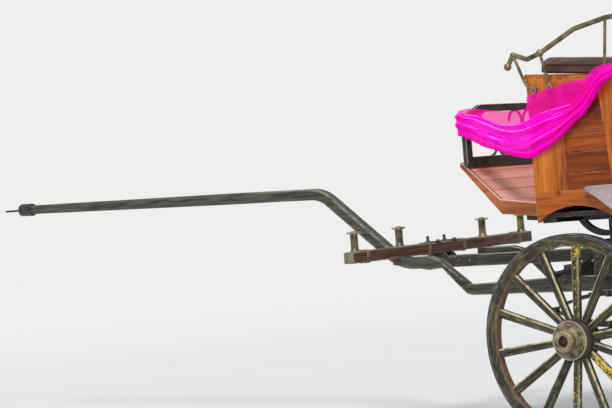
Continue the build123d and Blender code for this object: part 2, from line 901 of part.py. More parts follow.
# columns: x, height
rail_line = ((377, 1733), (343, 1786), (267, 1757), (193, 1778), (0, 1868), (-170, 1900), (-325, 1905))
rail_bends = (24, 24, 24, 60, 60, 60)
rail_posts = (
    ((343, 1784), (284, 1640), (243, 1613)),
    ((193, 1778), (154, 1620)),
    ((-170, 1900), (-142, 1630)),
    ((-312, 1904), (-280, 1612)),
)
# columns: x, height, radius
rail_knobs = ((377, 1733, 18), (343, 1784, 14), (193, 1779, 18))
with BuildPart() as hand_rails:
    back_rail = (rail_line[-1][0], 0, rail_line[-1][1])
    add_rod([(x, rail_y, z) for x, z in rail_line] + [back_rail], rail_radius, rail_bends)
    for line in rail_posts:
        add_rod([(x, rail_y, z) for x, z in line], post_radius, 30)
        foot_plane = Plane(
            origin=(axle_x + line[-1][0], rail_y + 5, line[-1][1]), x_dir=(1, 0, 0), z_dir=(0, -1, 0)
        )
        with BuildSketch(foot_plane) as foot_section:
            Circle(foot_radius)
        extrude(foot_section.sketch, amount=rail_y + 5 - body_half_width)
    for x, z, radius in rail_knobs:
        with Locations((axle_x + x, rail_y, z)):
            Sphere(radius)
    mirror(about=Plane.XZ)
save(hand_rails.part, "hand_rails")

# Body: passenger well
with BuildPart() as well:
    add_board(
        (well_rear, well_front), (-inner_face, inner_face), (floor_top - floor_thickness, floor_top)
    )
    add_board(
        (well_front - 20, well_front), (-inner_face, inner_face), (floor_top, passenger_seat_z)
    )
    add_board((well_rear, well_rear + 20), (-inner_face, inner_face), (floor_top, passenger_seat_z))
save(well.part, "passenger_well")

# Body: passenger seats
with BuildPart() as seat_boards:
    for x_range in ((well_front - 40, box_rear), (body_rear + 30, well_rear + 40)):
        add_board(
            x_range,
            (-inner_face, inner_face),
            (passenger_seat_z, passenger_seat_z + seat_board_thickness),
        )
save(seat_boards.part, "passenger_seat_boards")

# Body: passenger cushions
cushion_half = inner_face - 8
cushion_low = passenger_seat_z + seat_board_thickness
cushion_high = cushion_low + 80
back_pad = 80
with BuildPart() as front_cushion:
    add_board(
        (well_front - 30, box_rear - back_pad - 4),
        (-cushion_half, cushion_half),
        (cushion_low, cushion_high),
    )
save(front_cushion.part, "front_passenger_cushion")
with BuildPart() as front_back:
    add_board(
        (box_rear - back_pad, box_rear),
        (-cushion_half, cushion_half),
        (cushion_low, front_back_top),
    )
save(front_back.part, "front_passenger_backrest")
with BuildPart() as rear_cushion:
    add_board(
        (body_rear + 32 + back_pad, well_rear + 30),
        (-cushion_half, cushion_half),
        (cushion_low, cushion_high),
    )
save(rear_cushion.part, "rear_passenger_cushion")
with BuildPart() as rear_back:
    add_board(
        (body_rear + 28, body_rear + 28 + back_pad),
        (-cushion_half, cushion_half),
        (cushion_low, rear_back_top),
    )
save(rear_back.part, "rear_passenger_backrest")

# Body: rear panel with a planked recess
panel_border = 55
panel_low = sill_bottom + panel_border
with BuildPart() as rear_panel:
    add_board(
        (body_rear, body_rear + board_thickness),
        (-inner_face, inner_face),
        (sill_bottom, rear_panel_top),
    )
    panel_range = (-inner_face + panel_border, inner_face - panel_border)
    recess_floor = body_rear + plank_recess
    panel_high = rear_panel_top - panel_border
    add_board(
        (body_rear, recess_floor), panel_range, (panel_low, panel_high), mode=Mode.SUBTRACT
    )
    for count in range(1, 5):
        z = panel_low + count * panel_plank
        add_board(
            (recess_floor, recess_floor + seam_depth),
            panel_range,
            (z - seam_width / 2, z + seam_width / 2),
            mode=Mode.SUBTRACT,
        )
save(rear_panel.part, "rear_panel")

# Doors
hinge_x = well_front - door_gap / 2
knuckle_radius = 9
hinge_y = body_half_width + knuckle_radius + 2.5
pin_radius = 5
leaf_plate = 5
leaf_reach = 36
knuckle_half = 15
hinge_heights = (800, 1150)


def add_knuckle(side, low, high):
    """A round knuckle on one side's hinge line."""
    hinge_plane = Plane(origin=(axle_x + hinge_x, side * hinge_y, low), z_dir=(0, 0, 1))
    with BuildSketch(hinge_plane) as section:
        Circle(knuckle_radius)
    extrude(section.sketch, amount=high - low)


def leaf_range(side):
    """The leaf plates' range in y on one side."""
    return sorted((side * body_half_width, side * (body_half_width + leaf_plate)))


def make_door(name, side):
    """One low side door, hinged at its front edge, with its half of the hinges."""
    with BuildPart() as door:
        y_range = sorted((side * inner_face, side * body_half_width))
        x_range = (well_rear + door_gap, well_front - door_gap)
        z_range = (floor_top + door_gap, door_top)
        add_board(x_range, y_range, z_range)
        low_x, high_x = x_range[0] + panel_border, x_range[1] - panel_border
        low_z, high_z = z_range[0] + panel_border, z_range[1] - panel_border
        add_planked_recess(
            ((low_x, low_z), (high_x, low_z), (high_x, high_z), (low_x, high_z)), side
        )
        for z in hinge_heights:
            low = z - knuckle_half
            high = z + knuckle_half
            add_board((hinge_x - leaf_reach, hinge_x), leaf_range(side), (low, high))
            add_knuckle(side, low, high)
            bore_plane = Plane(origin=(axle_x + hinge_x, side * hinge_y, low), z_dir=(0, 0, 1))
            with BuildSketch(bore_plane) as bore:
                Circle(pin_radius + arm_clearance)
            extrude(bore.sketch, amount=high - low, mode=Mode.SUBTRACT)
    save(door.part, name)


make_door("left_door", 1)
make_door("right_door", -1)

# Body: hinge pins and their leaves on the door posts
with BuildPart() as door_pins:
    for z in hinge_heights:
        for low, high in (
            (z - 3 * knuckle_half, z - knuckle_half - 1),
            (z + knuckle_half + 1, z + 3 * knuckle_half),
        ):
            add_board((hinge_x, hinge_x + leaf_reach), leaf_range(1), (low, high))
            add_knuckle(1, low, high)
        pin_plane = Plane(
            origin=(axle_x + hinge_x, hinge_y, z - 3 * knuckle_half), z_dir=(0, 0, 1)
        )
        with BuildSketch(pin_plane) as pin_section:
            Circle(pin_radius)
        extrude(pin_section.sketch, amount=6 * knuckle_half)
    mirror(about=Plane.XZ)
save(door_pins.part, "door_hinge_pins")

# Wings over the front wheels
# columns: x, height at the body, distance out, height at the outer edge
front_wing_stations = (
    (10, 1152, 522, 1143),
    (-100, 1153, 588, 1104),
    (-210, 1150, 650, 1050),
    (-400, 1105, 740, 1010),
    (-580, 990, wing_outer_y, 940),
    (-700, 845, wing_outer_y, 805),
    (-800, 670, wing_outer_y, 645),
    (-850, 530, wing_outer_y, 520),
)
with BuildPart() as front_wings:
    sections = []
    for x, inner_z, outer_y, outer_z in front_wing_stations:
        with BuildSketch(cross_plane(x)) as section:
            with BuildLine():
                Polyline(
                    (body_half_width, inner_z),
                    (outer_y, outer_z),
                    (outer_y, outer_z - wing_sheet),
                    (body_half_width, inner_z - wing_sheet),
                    close=True,
                )
            make_face()
        sections.append(section.sketch)
    loft(sections, ruled=True)
    fall = wing_sheet + 2 * stay_radius
    for x, inner_z, outer_y, outer_z in front_wing_stations[2:4]:
        drop = inner_z - outer_z
        slope_length = hypot(outer_y - body_half_width, drop)
        start_y = body_half_width + seat_gap + stay_radius * drop / slope_length
        add_rod(
            ((x, start_y, inner_z - fall), (x, outer_y - 15, outer_z - fall)), stay_radius, 0
        )
    mirror(about=Plane.XZ)
save(front_wings.part, "front_wings")

# Wings over the rear wheels
with BuildPart() as rear_wings:
    add_arc_band(
        (-wheelbase, rear_wheel_radius),
        rear_wing_radius - wing_sheet,
        rear_wing_radius,
        180 - rear_wing_start,
        rear_wing_start - rear_wing_end,
        wing_outer_y,
        wing_outer_y - rear_wing_inner_y,
    )
    for x in wing_stay_places:
        fall = rear_wing_radius - wing_sheet
        z = rear_wheel_radius + (fall ** 2 - (x + wheelbase) ** 2) ** 0.5 - stay_radius + 2
        add_rod(((x, body_half_width, z), (x, wing_outer_y - 30, z)), stay_radius, 0)
    mirror(about=Plane.XZ)
save(rear_wings.part, "rear_wings")

# Side steps
with BuildPart() as steps:
    add_board((-1280, -930), (560, 740), (420, 426))
    for x in (-1240, -970):
        add_rod(((x, 440, floor_top - floor_thickness), (x, 440, 470), (x, 600, 411)), 9, 30)
    mirror(about=Plane.XZ)
save(steps.part, "side_steps")

# Cloth swag along the left side, from the dash to the seat
swag_thickness = 16
swag_standoff = 36
swag_y = body_half_width + swag_standoff
swag_top = ((690, 1560), (606, 1553), (435, 1545), (278, 1545), (205, 1591), (91, 1631), (-33, 1640),
            (-130, 1700), (-320, 1730))
swag_bottom = ((-320, 1670), (-130, 1570), (0, 1454), (118, 1358), (205, 1319), (290, 1293),
               (455, 1338), (566, 1379), (690, 1440))
# The thicker end lies against the dash's post
swag_end = swag_top[:3] + ((435, 1335),) + swag_bottom[-3:]
with BuildPart() as drape:
    add_side_plate(swag_top + swag_bottom, swag_y, swag_thickness)
    add_side_plate(swag_end, swag_y - swag_thickness, swag_thickness)
save(drape.part, "drape")
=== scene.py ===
"""The looks of a horse-drawn carriage: finishes on every piece, cushions, the cloth swag, bolts and trim.

Sizes are metres in the carriage's own frame: +X forward along the pole, +Y to its left, +Z up.
Places are given from the ground under the front axle's centre, and at() moves them into the frame.
"""
import json
import math

import bmesh
import bpy
import numpy as np
from mathutils import Matrix, Vector, noise
from mathutils.bvhtree import BVHTree


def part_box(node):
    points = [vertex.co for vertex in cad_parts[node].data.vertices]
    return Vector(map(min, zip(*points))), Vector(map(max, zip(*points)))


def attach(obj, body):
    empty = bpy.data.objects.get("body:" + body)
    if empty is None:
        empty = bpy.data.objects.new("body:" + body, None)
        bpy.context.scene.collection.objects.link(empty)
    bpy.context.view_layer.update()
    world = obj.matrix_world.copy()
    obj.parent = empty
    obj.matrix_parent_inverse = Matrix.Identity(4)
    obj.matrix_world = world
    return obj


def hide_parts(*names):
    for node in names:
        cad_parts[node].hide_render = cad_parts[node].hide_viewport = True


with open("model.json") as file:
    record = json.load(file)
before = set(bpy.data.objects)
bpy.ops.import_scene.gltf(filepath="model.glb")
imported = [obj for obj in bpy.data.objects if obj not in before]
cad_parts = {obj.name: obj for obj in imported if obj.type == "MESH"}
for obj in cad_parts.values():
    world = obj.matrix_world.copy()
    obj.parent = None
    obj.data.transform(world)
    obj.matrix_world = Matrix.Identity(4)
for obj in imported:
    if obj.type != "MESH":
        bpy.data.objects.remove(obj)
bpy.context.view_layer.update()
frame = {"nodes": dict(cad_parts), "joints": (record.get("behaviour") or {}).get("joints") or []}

PINS = {joint["name"]: joint["pos_m"] for joint in frame["joints"]}
AXLE_X = PINS["forecarriage_steer"][0]
FRONT_RADIUS = PINS["front_left_wheel_spin"][2]
REAR_RADIUS = PINS["rear_left_wheel_spin"][2]
TRACK_HALF = PINS["front_left_wheel_spin"][1]
WHEELBASE = AXLE_X - PINS["rear_left_wheel_spin"][0]


FORWARD = Vector((1, 0, 0))
OUT = Vector((0, 1, 0))
UP = Vector((0, 0, 1))


def at(x, y, z):
    """A place given from the ground under the front axle, in the frame."""
    return Vector((AXLE_X + x, y, z))


# Camera: the photograph's viewing place, direction and lens
PHOTO_WIDTH = 612
FOCAL_PIXELS = 2100
SENSOR = 36.0
VIEW_PLACE = at(-5.197, 8.60, 1.236)
VIEW_RIGHT = Vector((-0.7598, -0.6448, -0.0834)).normalized()
VIEW_FORWARD = Vector((0.6474, -0.7621, -0.0061)).normalized()


def put_in_scene(name, data):
    thing = bpy.data.objects.new(name, data)
    bpy.context.scene.collection.objects.link(thing)
    return thing


def make_camera():
    lens = bpy.data.cameras.new("photo_camera")
    lens.sensor_width = SENSOR
    lens.lens = FOCAL_PIXELS / PHOTO_WIDTH * SENSOR
    lens.clip_end = 200
    camera = put_in_scene("photo_camera", lens)
    up = VIEW_RIGHT.cross(VIEW_FORWARD)
    turned = Matrix((VIEW_RIGHT, up, -VIEW_FORWARD)).transposed().to_4x4()
    camera.matrix_world = Matrix.Translation(VIEW_PLACE) @ turned
    bpy.context.scene.camera = camera


# Shader trees
class Tree:
    """A material's node tree. Each call adds one node and returns the socket that the next one uses."""

    def __init__(self, name):
        self.material = bpy.data.materials.new(name)
        self.material.use_nodes = True
        self.nodes = self.material.node_tree.nodes
        self.links = self.material.node_tree.links
        self.shader = self.nodes["Principled BSDF"]
        self.place = self.add("ShaderNodeTexCoord").outputs["Object"]

    def add(self, kind, inputs=None, **settings):
        node = self.nodes.new(kind)
        for key, value in settings.items():
            setattr(node, key, value)
        for key, value in (inputs or {}).items():
            self.put(node.inputs[key], value)
        return node

    def put(self, socket, value):
        if isinstance(value, bpy.types.NodeSocket):
            self.links.new(value, socket)
        elif isinstance(value, tuple) and len(value) == 3 and socket.type == "RGBA":
            socket.default_value = (*value, 1)
        else:
            socket.default_value = value

    def scaled(self, scale, shift=(0, 0, 0)):
        inputs = {"Vector": self.place, "Location": shift, "Scale": scale}
        return self.add("ShaderNodeMapping", inputs).outputs[0]

    def noise(self, vector, scale=1.0, detail=3.0, roughness=0.5, distortion=0.0):
        inputs = {"Vector": vector, "Scale": scale, "Detail": detail, "Roughness": roughness,
                  "Distortion": distortion}
        return self.add("ShaderNodeTexNoise", inputs).outputs[0]

    def cells(self, vector, scale, feature="F1"):
        node = self.add("ShaderNodeTexVoronoi", {"Vector": vector, "Scale": scale}, feature=feature)
        return node.outputs["Distance"]

    def math(self, operation, a, b=0.0, clamp=False):
        node = self.add("ShaderNodeMath", {0: a, 1: b}, operation=operation, use_clamp=clamp)
        return node.outputs[0]

    def times(self, a, b):
        return self.math("MULTIPLY", a, b)

    def line(self, value, slope, start):
        """start plus slope times value."""
        return self.math("ADD", self.times(value, slope), start)

    def band(self, value, low, high):
        """0 below low, 1 above high and smooth between. With low over high it falls instead."""
        inputs = {"Value": value, "From Min": low, "From Max": high}
        return self.add("ShaderNodeMapRange", inputs, interpolation_type="SMOOTHSTEP").outputs[0]

    def mix(self, factor, a, b, blend="MIX"):
        node = self.add("ShaderNodeMix", {0: factor, 6: a, 7: b}, data_type="RGBA", blend_type=blend)
        return node.outputs[2]

    def tint(self, colour, mask, strength, paint):
        """Lays paint over colour where mask is 1."""
        return self.mix(self.times(mask, strength), colour, paint)

    def ramp(self, value, *stops):
        """stops are (place, colour) pairs."""
        node = self.add("ShaderNodeValToRGB", {0: value})
        elements = node.color_ramp.elements
        while len(elements) < len(stops):
            elements.new(1)
        for element, (place, colour) in zip(elements, stops):
            element.position = place
            element.color = (*colour, 1)
        return node.outputs[0]

    def axes(self, vector=None):
        return self.add("ShaderNodeSeparateXYZ", {0: vector or self.place}).outputs

    def joined(self, x, y, z):
        return self.add("ShaderNodeCombineXYZ", {0: x, 1: y, 2: z}).outputs[0]

    def rims(self, radius, low=0.02, high=0.12):
        """1 on sharp edges and 0 on flat faces."""
        bent = self.add("ShaderNodeBevel", {"Radius": radius}, samples=4).outputs[0]
        flat = self.add("ShaderNodeNewGeometry").outputs["Normal"]
        turn = self.add("ShaderNodeVectorMath", {0: bent, 1: flat}, operation="DOT_PRODUCT")
        return self.band(self.math("SUBTRACT", 1.0, turn.outputs["Value"]), low, high)

    def rubbed_rims(self, radius, high, scale, wear):
        """Sharp edges where the paint is rubbed away in patches."""
        rubbed = self.band(self.noise(self.place, scale, 4, 0.7), *wear)
        return self.times(self.rims(radius, 0.01, high), rubbed)

    def facing_up(self, low=0.3, high=0.9):
        normal = self.add("ShaderNodeNewGeometry").outputs["Normal"]
        return self.band(self.axes(normal)[2], low, high)

    def bump(self, height, strength=0.3, distance=0.002, below=None):
        inputs = {"Height": height, "Strength": strength, "Distance": distance}
        if below:
            inputs["Normal"] = below
        return self.add("ShaderNodeBump", inputs).outputs[0]

    def finish(self, colour, roughness=0.5, normal=None, **constants):
        self.put(self.shader.inputs["Base Color"], colour)
        self.put(self.shader.inputs["Roughness"], roughness)
        if normal:
            self.put(self.shader.inputs["Normal"], normal)
        for key, value in constants.items():
            self.shader.inputs[key.replace("_", " ")].default_value = value
        return self.material


GRAIN_ACROSS = 1.0
GRAIN_ALONG = 0.06


def grain_scale(along):
    """Stretch factors that pull a pattern out along X, Y or Z."""
    return tuple(GRAIN_ALONG if axis == along else GRAIN_ACROSS for axis in "XYZ")


def grain_place(tree, along, shift=(0, 0, 0), rail_along=None, rail_top=0.0):
    """Coordinates stretched along the grain. Below rail_top the grain runs along rail_along instead."""
    main = tree.scaled(grain_scale(along), shift)
    if rail_along is None:
        return main
    rail = tree.scaled(grain_scale(rail_along), shift)
    inputs = {0: tree.band(tree.axes()[2], rail_top - 0.001, rail_top + 0.001), 4: rail, 5: main}
    return tree.add("ShaderNodeMix", inputs, data_type="VECTOR").outputs[1]


def varnished_wood(name, along, dark, middle, light, shift=(0, 0, 0), rim=(0.62, 0.36, 0.22),
                   coat=0.18, **rails):
    """Softwood under clear varnish: soft figure, fine dark streaks, a few knots and pale worn edges."""
    tree = Tree(name)
    grain = grain_place(tree, along, shift, **rails)
    broad = tree.noise(grain, 9, 2, 0.5, 0.6)
    fine = tree.noise(grain, 120, 4, 0.65, 0.2)
    rings = tree.noise(grain, 34, 3, 0.55, 1.2)
    blend = tree.math("ADD", tree.times(broad, 0.5), tree.times(rings, 0.5))
    colour = tree.ramp(blend, (0.32, dark), (0.5, middle), (0.68, light))
    streaks = tree.band(tree.noise(grain, 62, 2, 0.5, 0.4), 0.60, 0.72)
    colour = tree.tint(colour, streaks, 0.6, dark)
    colour = tree.mix(tree.times(fine, 0.35), colour, middle, "MULTIPLY")
    knots = tree.band(tree.cells(tree.scaled((1, 1, 1), shift), 3.2), 0.07, 0.025)
    colour = tree.tint(colour, knots, 0.75, dark)
    worn = tree.times(tree.rims(0.004), tree.band(tree.noise(tree.place, 14, 3), 0.35, 0.6))
    colour = tree.tint(colour, worn, 0.75, rim)
    roughness = tree.line(tree.noise(tree.place, 11, 3), 0.25, 0.22)
    normal = tree.bump(fine, 0.12, 0.001)
    normal = tree.bump(rings, 0.08, 0.002, normal)
    return tree.finish(colour, roughness, normal, Coat_Weight=coat, Coat_Roughness=0.12,
                       Specular_IOR_Level=0.25)


def painted_timber(name, along, dark, light, rim, roughness=0.55, grime=(0.2, 0.17, 0.12),
                   rim_size=0.005):
    """Old painted timber: dark paint with dusty patches, open grain and pale edges, partly worn paint and
    partly a painted highlight on the arrises.
    """
    tree = Tree(name)
    grain = tree.scaled(grain_scale(along))
    fine = tree.noise(grain, 90, 4, 0.65, 0.3)
    patches = tree.noise(tree.place, 7, 4, 0.6)
    colour = tree.ramp(fine, (0.35, dark), (0.66, light))
    dusty = tree.times(tree.facing_up(), tree.band(patches, 0.40, 0.62))
    colour = tree.tint(colour, dusty, 0.55, grime)
    wear = tree.band(tree.noise(grain, 30, 4, 0.7), 0.36, 0.58)
    worn = tree.times(tree.rims(rim_size, 0.012, 0.035), wear)
    colour = tree.mix(worn, colour, rim)
    rough = tree.line(patches, 0.3, roughness - 0.15)
    return tree.finish(colour, rough, tree.bump(fine, 0.3, 0.002))


def painted_iron(name, dark, light, rim, roughness=0.42, metallic=0.0, wear=(0.42, 0.62), scale=1.0,
                 rim_size=0.003):
    """Painted iron: hammered unevenness, dust, and paint rubbed away on the edges; on some looks these pale
    edges are also painted highlights.
    """
    tree = Tree(name)
    patches = tree.noise(tree.place, 16 * scale, 4, 0.6)
    specks = tree.noise(tree.place, 150 * scale, 3, 0.6)
    colour = tree.ramp(patches, (0.34, dark), (0.68, light))
    worn = tree.rubbed_rims(rim_size, 0.1, 34 * scale, wear)
    colour = tree.mix(worn, colour, rim)
    spots = tree.band(specks, 0.66, 0.74)
    colour = tree.tint(colour, spots, 0.5, rim)
    rough = tree.line(patches, 0.3, roughness - 0.15)
    return tree.finish(colour, rough, tree.bump(specks, 0.15, 0.0015), Metallic=metallic)


def wheel_polar(tree, radius, x):
    """Angle in turns, distance from the wheel's axis, and y, for a wheel at x."""
    place = tree.axes()
    across = tree.math("SUBTRACT", place[0], AXLE_X + x)
    upright = tree.math("SUBTRACT", place[2], radius)
    turn = tree.math("DIVIDE", tree.math("ARCTAN2", upright, across), 2 * math.pi)
    square = tree.math("ADD", tree.times(across, across), tree.times(upright, upright))
    return turn, tree.math("POWER", square, 0.5), place[1]


FELLOE_DEPTH = 0.056
OLIVE = (0.064, 0.051, 0.021)
OLIVE_DARK = (0.013, 0.011, 0.008)
OLIVE_PALE = (0.30, 0.245, 0.105)
CREAM = (0.74, 0.64, 0.37)
YELLOW_PAINT = (0.78, 0.55, 0.04)

# columns: the painted spoke's angle in turns, least speckle, reach where the paint starts
SPOKE_PAINT = {
    "front": ((0.252, 0.57, 0.10), (0.252, 0.44, 0.36), (-0.252, 0.57, 0.10), (-0.385, 0.47, 0.10)),
    "rear": ((0.4395, 0.56, 0.10), (-0.123, 0.50, 0.16)),
}


def wheel_grain(tree, polar, scales):
    """Coordinates that run round or out along a wheel."""
    return tree.joined(*(tree.times(value, scale) for value, scale in zip(polar, scales)))


def wheel_wood(name, radius, x, part, joints=0, paint=()):
    """Weathered wheel timber with the remains of its paint and a painted highlight on the spokes'
    upward-facing chamfers. The grain follows spokes or felloes.
    """
    tree = Tree(name)
    polar = wheel_polar(tree, radius, x)
    turn, reach, _ = polar
    grain = wheel_grain(tree, polar, (38, 1.6, 14) if part == "spokes" else (7, 22, 22))
    fine = tree.noise(grain, 5, 5, 0.7, 0.4)
    cracks = tree.noise(grain, 11, 3, 0.6, 0.2)
    lift = 0.04 if part == "spokes" else 0.0
    colour = tree.ramp(fine, (0.34 + lift, OLIVE_DARK), (0.52 + lift, OLIVE), (0.74 + lift, OLIVE_PALE))
    flakes = tree.band(tree.noise(grain, 3.2, 5, 0.75, 0.6), 0.60, 0.67)
    colour = tree.tint(colour, flakes, 0.35 if part == "spokes" else 0.6, CREAM)
    blotches = tree.band(tree.noise(tree.place, 17, 5, 0.72), 0.48, 0.58)
    colour = tree.tint(colour, blotches, 0.75, OLIVE_DARK)
    worn = tree.rubbed_rims(0.005, 0.09, 26, (0.38, 0.58))
    colour = tree.tint(colour, worn, 0.55, CREAM)
    if part == "spokes":
        # Painted highlight: cream on the spokes' chamfers, strongest where they face up and broken up by
        # noise.
        normal = tree.axes(tree.add("ShaderNodeNewGeometry").outputs["True Normal"])
        outward = tree.math("ABSOLUTE", normal[1])
        bevel = tree.times(tree.band(outward, 0.40, 0.52), tree.band(outward, 0.94, 0.86))
        lit = tree.times(bevel, tree.band(normal[2], -0.30, 0.20))
        chipped_highlight = tree.band(tree.noise(tree.place, 21, 5, 0.75), 0.34, 0.56)
        colour = tree.tint(colour, lit, tree.times(chipped_highlight, 0.85), CREAM)
        speckle = tree.noise(tree.place, 75, 4, 0.7)
        for spoke, least, start in paint:
            aside = tree.math("ABSOLUTE", tree.math("SUBTRACT", turn, spoke))
            painted = tree.times(tree.band(aside, 0.030, 0.022), tree.band(reach, start, start + 0.03))
            painted = tree.times(painted, tree.band(speckle, least, least + 0.06))
            colour = tree.mix(painted, colour, YELLOW_PAINT)
    else:
        inner = tree.band(reach, radius - FELLOE_DEPTH + 0.0015, radius - FELLOE_DEPTH)
        colour = tree.tint(colour, inner, 0.85, (0.24, 0.115, 0.07))
    if joints:
        step = tree.math("FRACT", tree.times(tree.math("ADD", turn, 1.0), joints))
        gap = tree.band(tree.math("ABSOLUTE", tree.math("SUBTRACT", step, 0.5)), 0.004, 0.002)
        colour = tree.mix(gap, colour, (0.01, 0.009, 0.007))
    split = tree.band(cracks, 0.40, 0.30)
    colour = tree.tint(colour, split, 0.8, (0.012, 0.011, 0.009))
    normal = tree.bump(cracks, 0.55, 0.004)
    normal = tree.bump(fine, 0.4, 0.002, normal)
    rough = tree.line(fine, 0.3, 0.42)
    return tree.finish(colour, rough, normal)


def tyre_iron(name, radius, x):
    """A worn iron tyre: blue-grey with pale scuffs round the rim and rust near the felloe."""
    tree = Tree(name)
    polar = wheel_polar(tree, radius, x)
    reach = polar[1]
    grain = wheel_grain(tree, polar, (5, 30, 30))
    streaks = tree.noise(grain, 6, 5, 0.7, 0.3)
    colour = tree.ramp(streaks, (0.32, (0.022, 0.025, 0.032)), (0.55, (0.070, 0.080, 0.10)),
                       (0.75, (0.18, 0.195, 0.23)))
    scuffs = tree.band(tree.noise(grain, 14, 4, 0.75), 0.61, 0.68)
    colour = tree.tint(colour, scuffs, 0.6, (0.62, 0.62, 0.60))
    worn = tree.rubbed_rims(0.004, 0.1, 30, (0.42, 0.58))
    colour = tree.mix(worn, colour, (0.58, 0.57, 0.52))
    rust = tree.times(tree.band(reach, radius - 0.006, radius - 0.012),
                     tree.band(tree.noise(tree.place, 18, 3), 0.45, 0.6))
    colour = tree.tint(colour, rust, 0.6, (0.13, 0.06, 0.03))
    rough = tree.line(streaks, 0.35, 0.25)
    return tree.finish(colour, rough, tree.bump(streaks, 0.3, 0.002), Metallic=0.35)


def hub_iron(name):
    """Old paint over iron: a dark barrel, a paler rubbed face and nose, and pale specks."""
    tree = Tree(name)
    side = tree.math("ABSOLUTE", tree.axes()[1])
    patches = tree.noise(tree.place, 24, 4, 0.6)
    specks = tree.noise(tree.place, 210, 3, 0.6)
    barrel = tree.ramp(patches, (0.34, (0.016, 0.013, 0.009)), (0.68, (0.070, 0.056, 0.038)))
    face = tree.ramp(patches, (0.36, (0.060, 0.048, 0.027)), (0.66, (0.39, 0.31, 0.18)))
    front = tree.band(side, TRACK_HALF + 0.043, TRACK_HALF + 0.047)
    colour = tree.mix(front, barrel, face)
    worn = tree.rubbed_rims(0.005, 0.1, 48, (0.34, 0.52))
    colour = tree.tint(colour, worn, front, (0.72, 0.60, 0.36))
    spots = tree.band(specks, 0.66, 0.74)
    colour = tree.tint(colour, spots, 0.4, (0.66, 0.55, 0.33))
    rough = tree.line(patches, 0.3, 0.36)
    return tree.finish(colour, rough, tree.bump(specks, 0.2, 0.0015), Metallic=0.1)


def leather(name, dark, light, scale=1.0):
    """Soft leather: pebbled grain, long creases and lighter rubbed high places."""
    tree = Tree(name)
    pebbles = tree.cells(tree.place, 420 * scale, "SMOOTH_F1")
    creases = tree.noise(tree.scaled((1, 1, 1.4)), 11 * scale, 5, 0.6, 1.1)
    cloud = tree.noise(tree.place, 4, 3)
    colour = tree.ramp(cloud, (0.35, dark), (0.66, light))
    rubbed = tuple(min(1, part * 1.9) for part in light)
    colour = tree.tint(colour, tree.band(creases, 0.55, 0.7), 0.35, rubbed)
    normal = tree.bump(creases, 0.25, 0.006)
    normal = tree.bump(pebbles, 0.25, 0.0008, normal)
    rough = tree.line(creases, 0.3, 0.28)
    return tree.finish(colour, rough, normal, Sheen_Weight=0.05, Coat_Weight=0.1, Coat_Roughness=0.3)


def wing_paint(name):
    """Matt mauve-grey paint on sheet iron, with chalky clouds, fine scratches and a pale rim."""
    tree = Tree(name)
    cloud = tree.noise(tree.place, 5, 4, 0.6)
    scratch = tree.noise(tree.scaled((0.08, 1, 0.5)), 120, 3, 0.6)
    colour = tree.ramp(cloud, (0.32, (0.31, 0.265, 0.275)), (0.68, (0.52, 0.465, 0.465)))
    colour = tree.tint(colour, tree.band(scratch, 0.62, 0.7), 0.4, (0.68, 0.66, 0.65))
    colour = tree.mix(tree.rims(0.006, 0.01, 0.2), colour, (0.72, 0.71, 0.68))
    rough = tree.line(cloud, 0.25, 0.38)
    return tree.finish(colour, rough, tree.bump(cloud, 0.1, 0.003), Coat_Weight=0.1, Coat_Roughness=0.3)


def tulle(name, opacity, deep=(0.92, 0.0, 0.46), bright=(1.0, 0.0, 0.60)):
    """Sheer fuchsia cloth with a fine mesh: painted shade where it leans down, a painted highlight where it
    leans up, and a faint painted glow from emission.
    """
    tree = Tree(name)
    cloud = tree.noise(tree.place, 7, 4, 0.6, 0.8)
    weave = tree.noise(tree.place, 900, 2)
    colour = tree.ramp(cloud, (0.36, deep), (0.62, bright))
    tilt = tree.axes(tree.add("ShaderNodeNewGeometry").outputs["Normal"])[2]
    # Painted shade on the flanks that lean down and a painted highlight on those that lean up.
    colour = tree.tint(colour, tree.band(tilt, -0.15, -0.7), 0.7, (0.66, 0.0, 0.30))
    colour = tree.tint(colour, tree.band(tilt, 0.55, 0.92), 0.7, (1.0, 0.20, 0.80))
    tree.put(tree.shader.inputs["Alpha"],
             tree.math("ADD", tree.times(weave, 0.10), opacity - 0.05, True))
    # Painted glow: the cloth gives off a little light in its own colour.
    tree.put(tree.shader.inputs["Emission Color"], colour)
    return tree.finish(colour, 0.75, tree.bump(weave, 0.2, 0.0006), Sheen_Weight=0.06,
                       Sheen_Roughness=0.4, Sheen_Tint=(1.0, 0.35, 0.85, 1.0), Emission_Strength=0.22,
                       Specular_IOR_Level=0.1)


PINE_DARK = (0.20, 0.040, 0.004)
PINE = (0.60, 0.168, 0.016)
PINE_LIGHT = (0.84, 0.29, 0.035)
CEDAR_DARK = (0.085, 0.013, 0.002)
CEDAR = (0.31, 0.058, 0.004)
CEDAR_LIGHT = (0.54, 0.135, 0.008)
PALE_SEAM = (0.80, 0.54, 0.36)
FRAME_RAIL_TOP = 1.139
BLACK = (0.013, 0.013, 0.013)
BLACK_DUSTY = (0.058, 0.053, 0.046)
BONE = (0.60, 0.54, 0.40)
GREEN_BLACK = (0.012, 0.014, 0.010)
GREEN_GREY = (0.105, 0.104, 0.075)

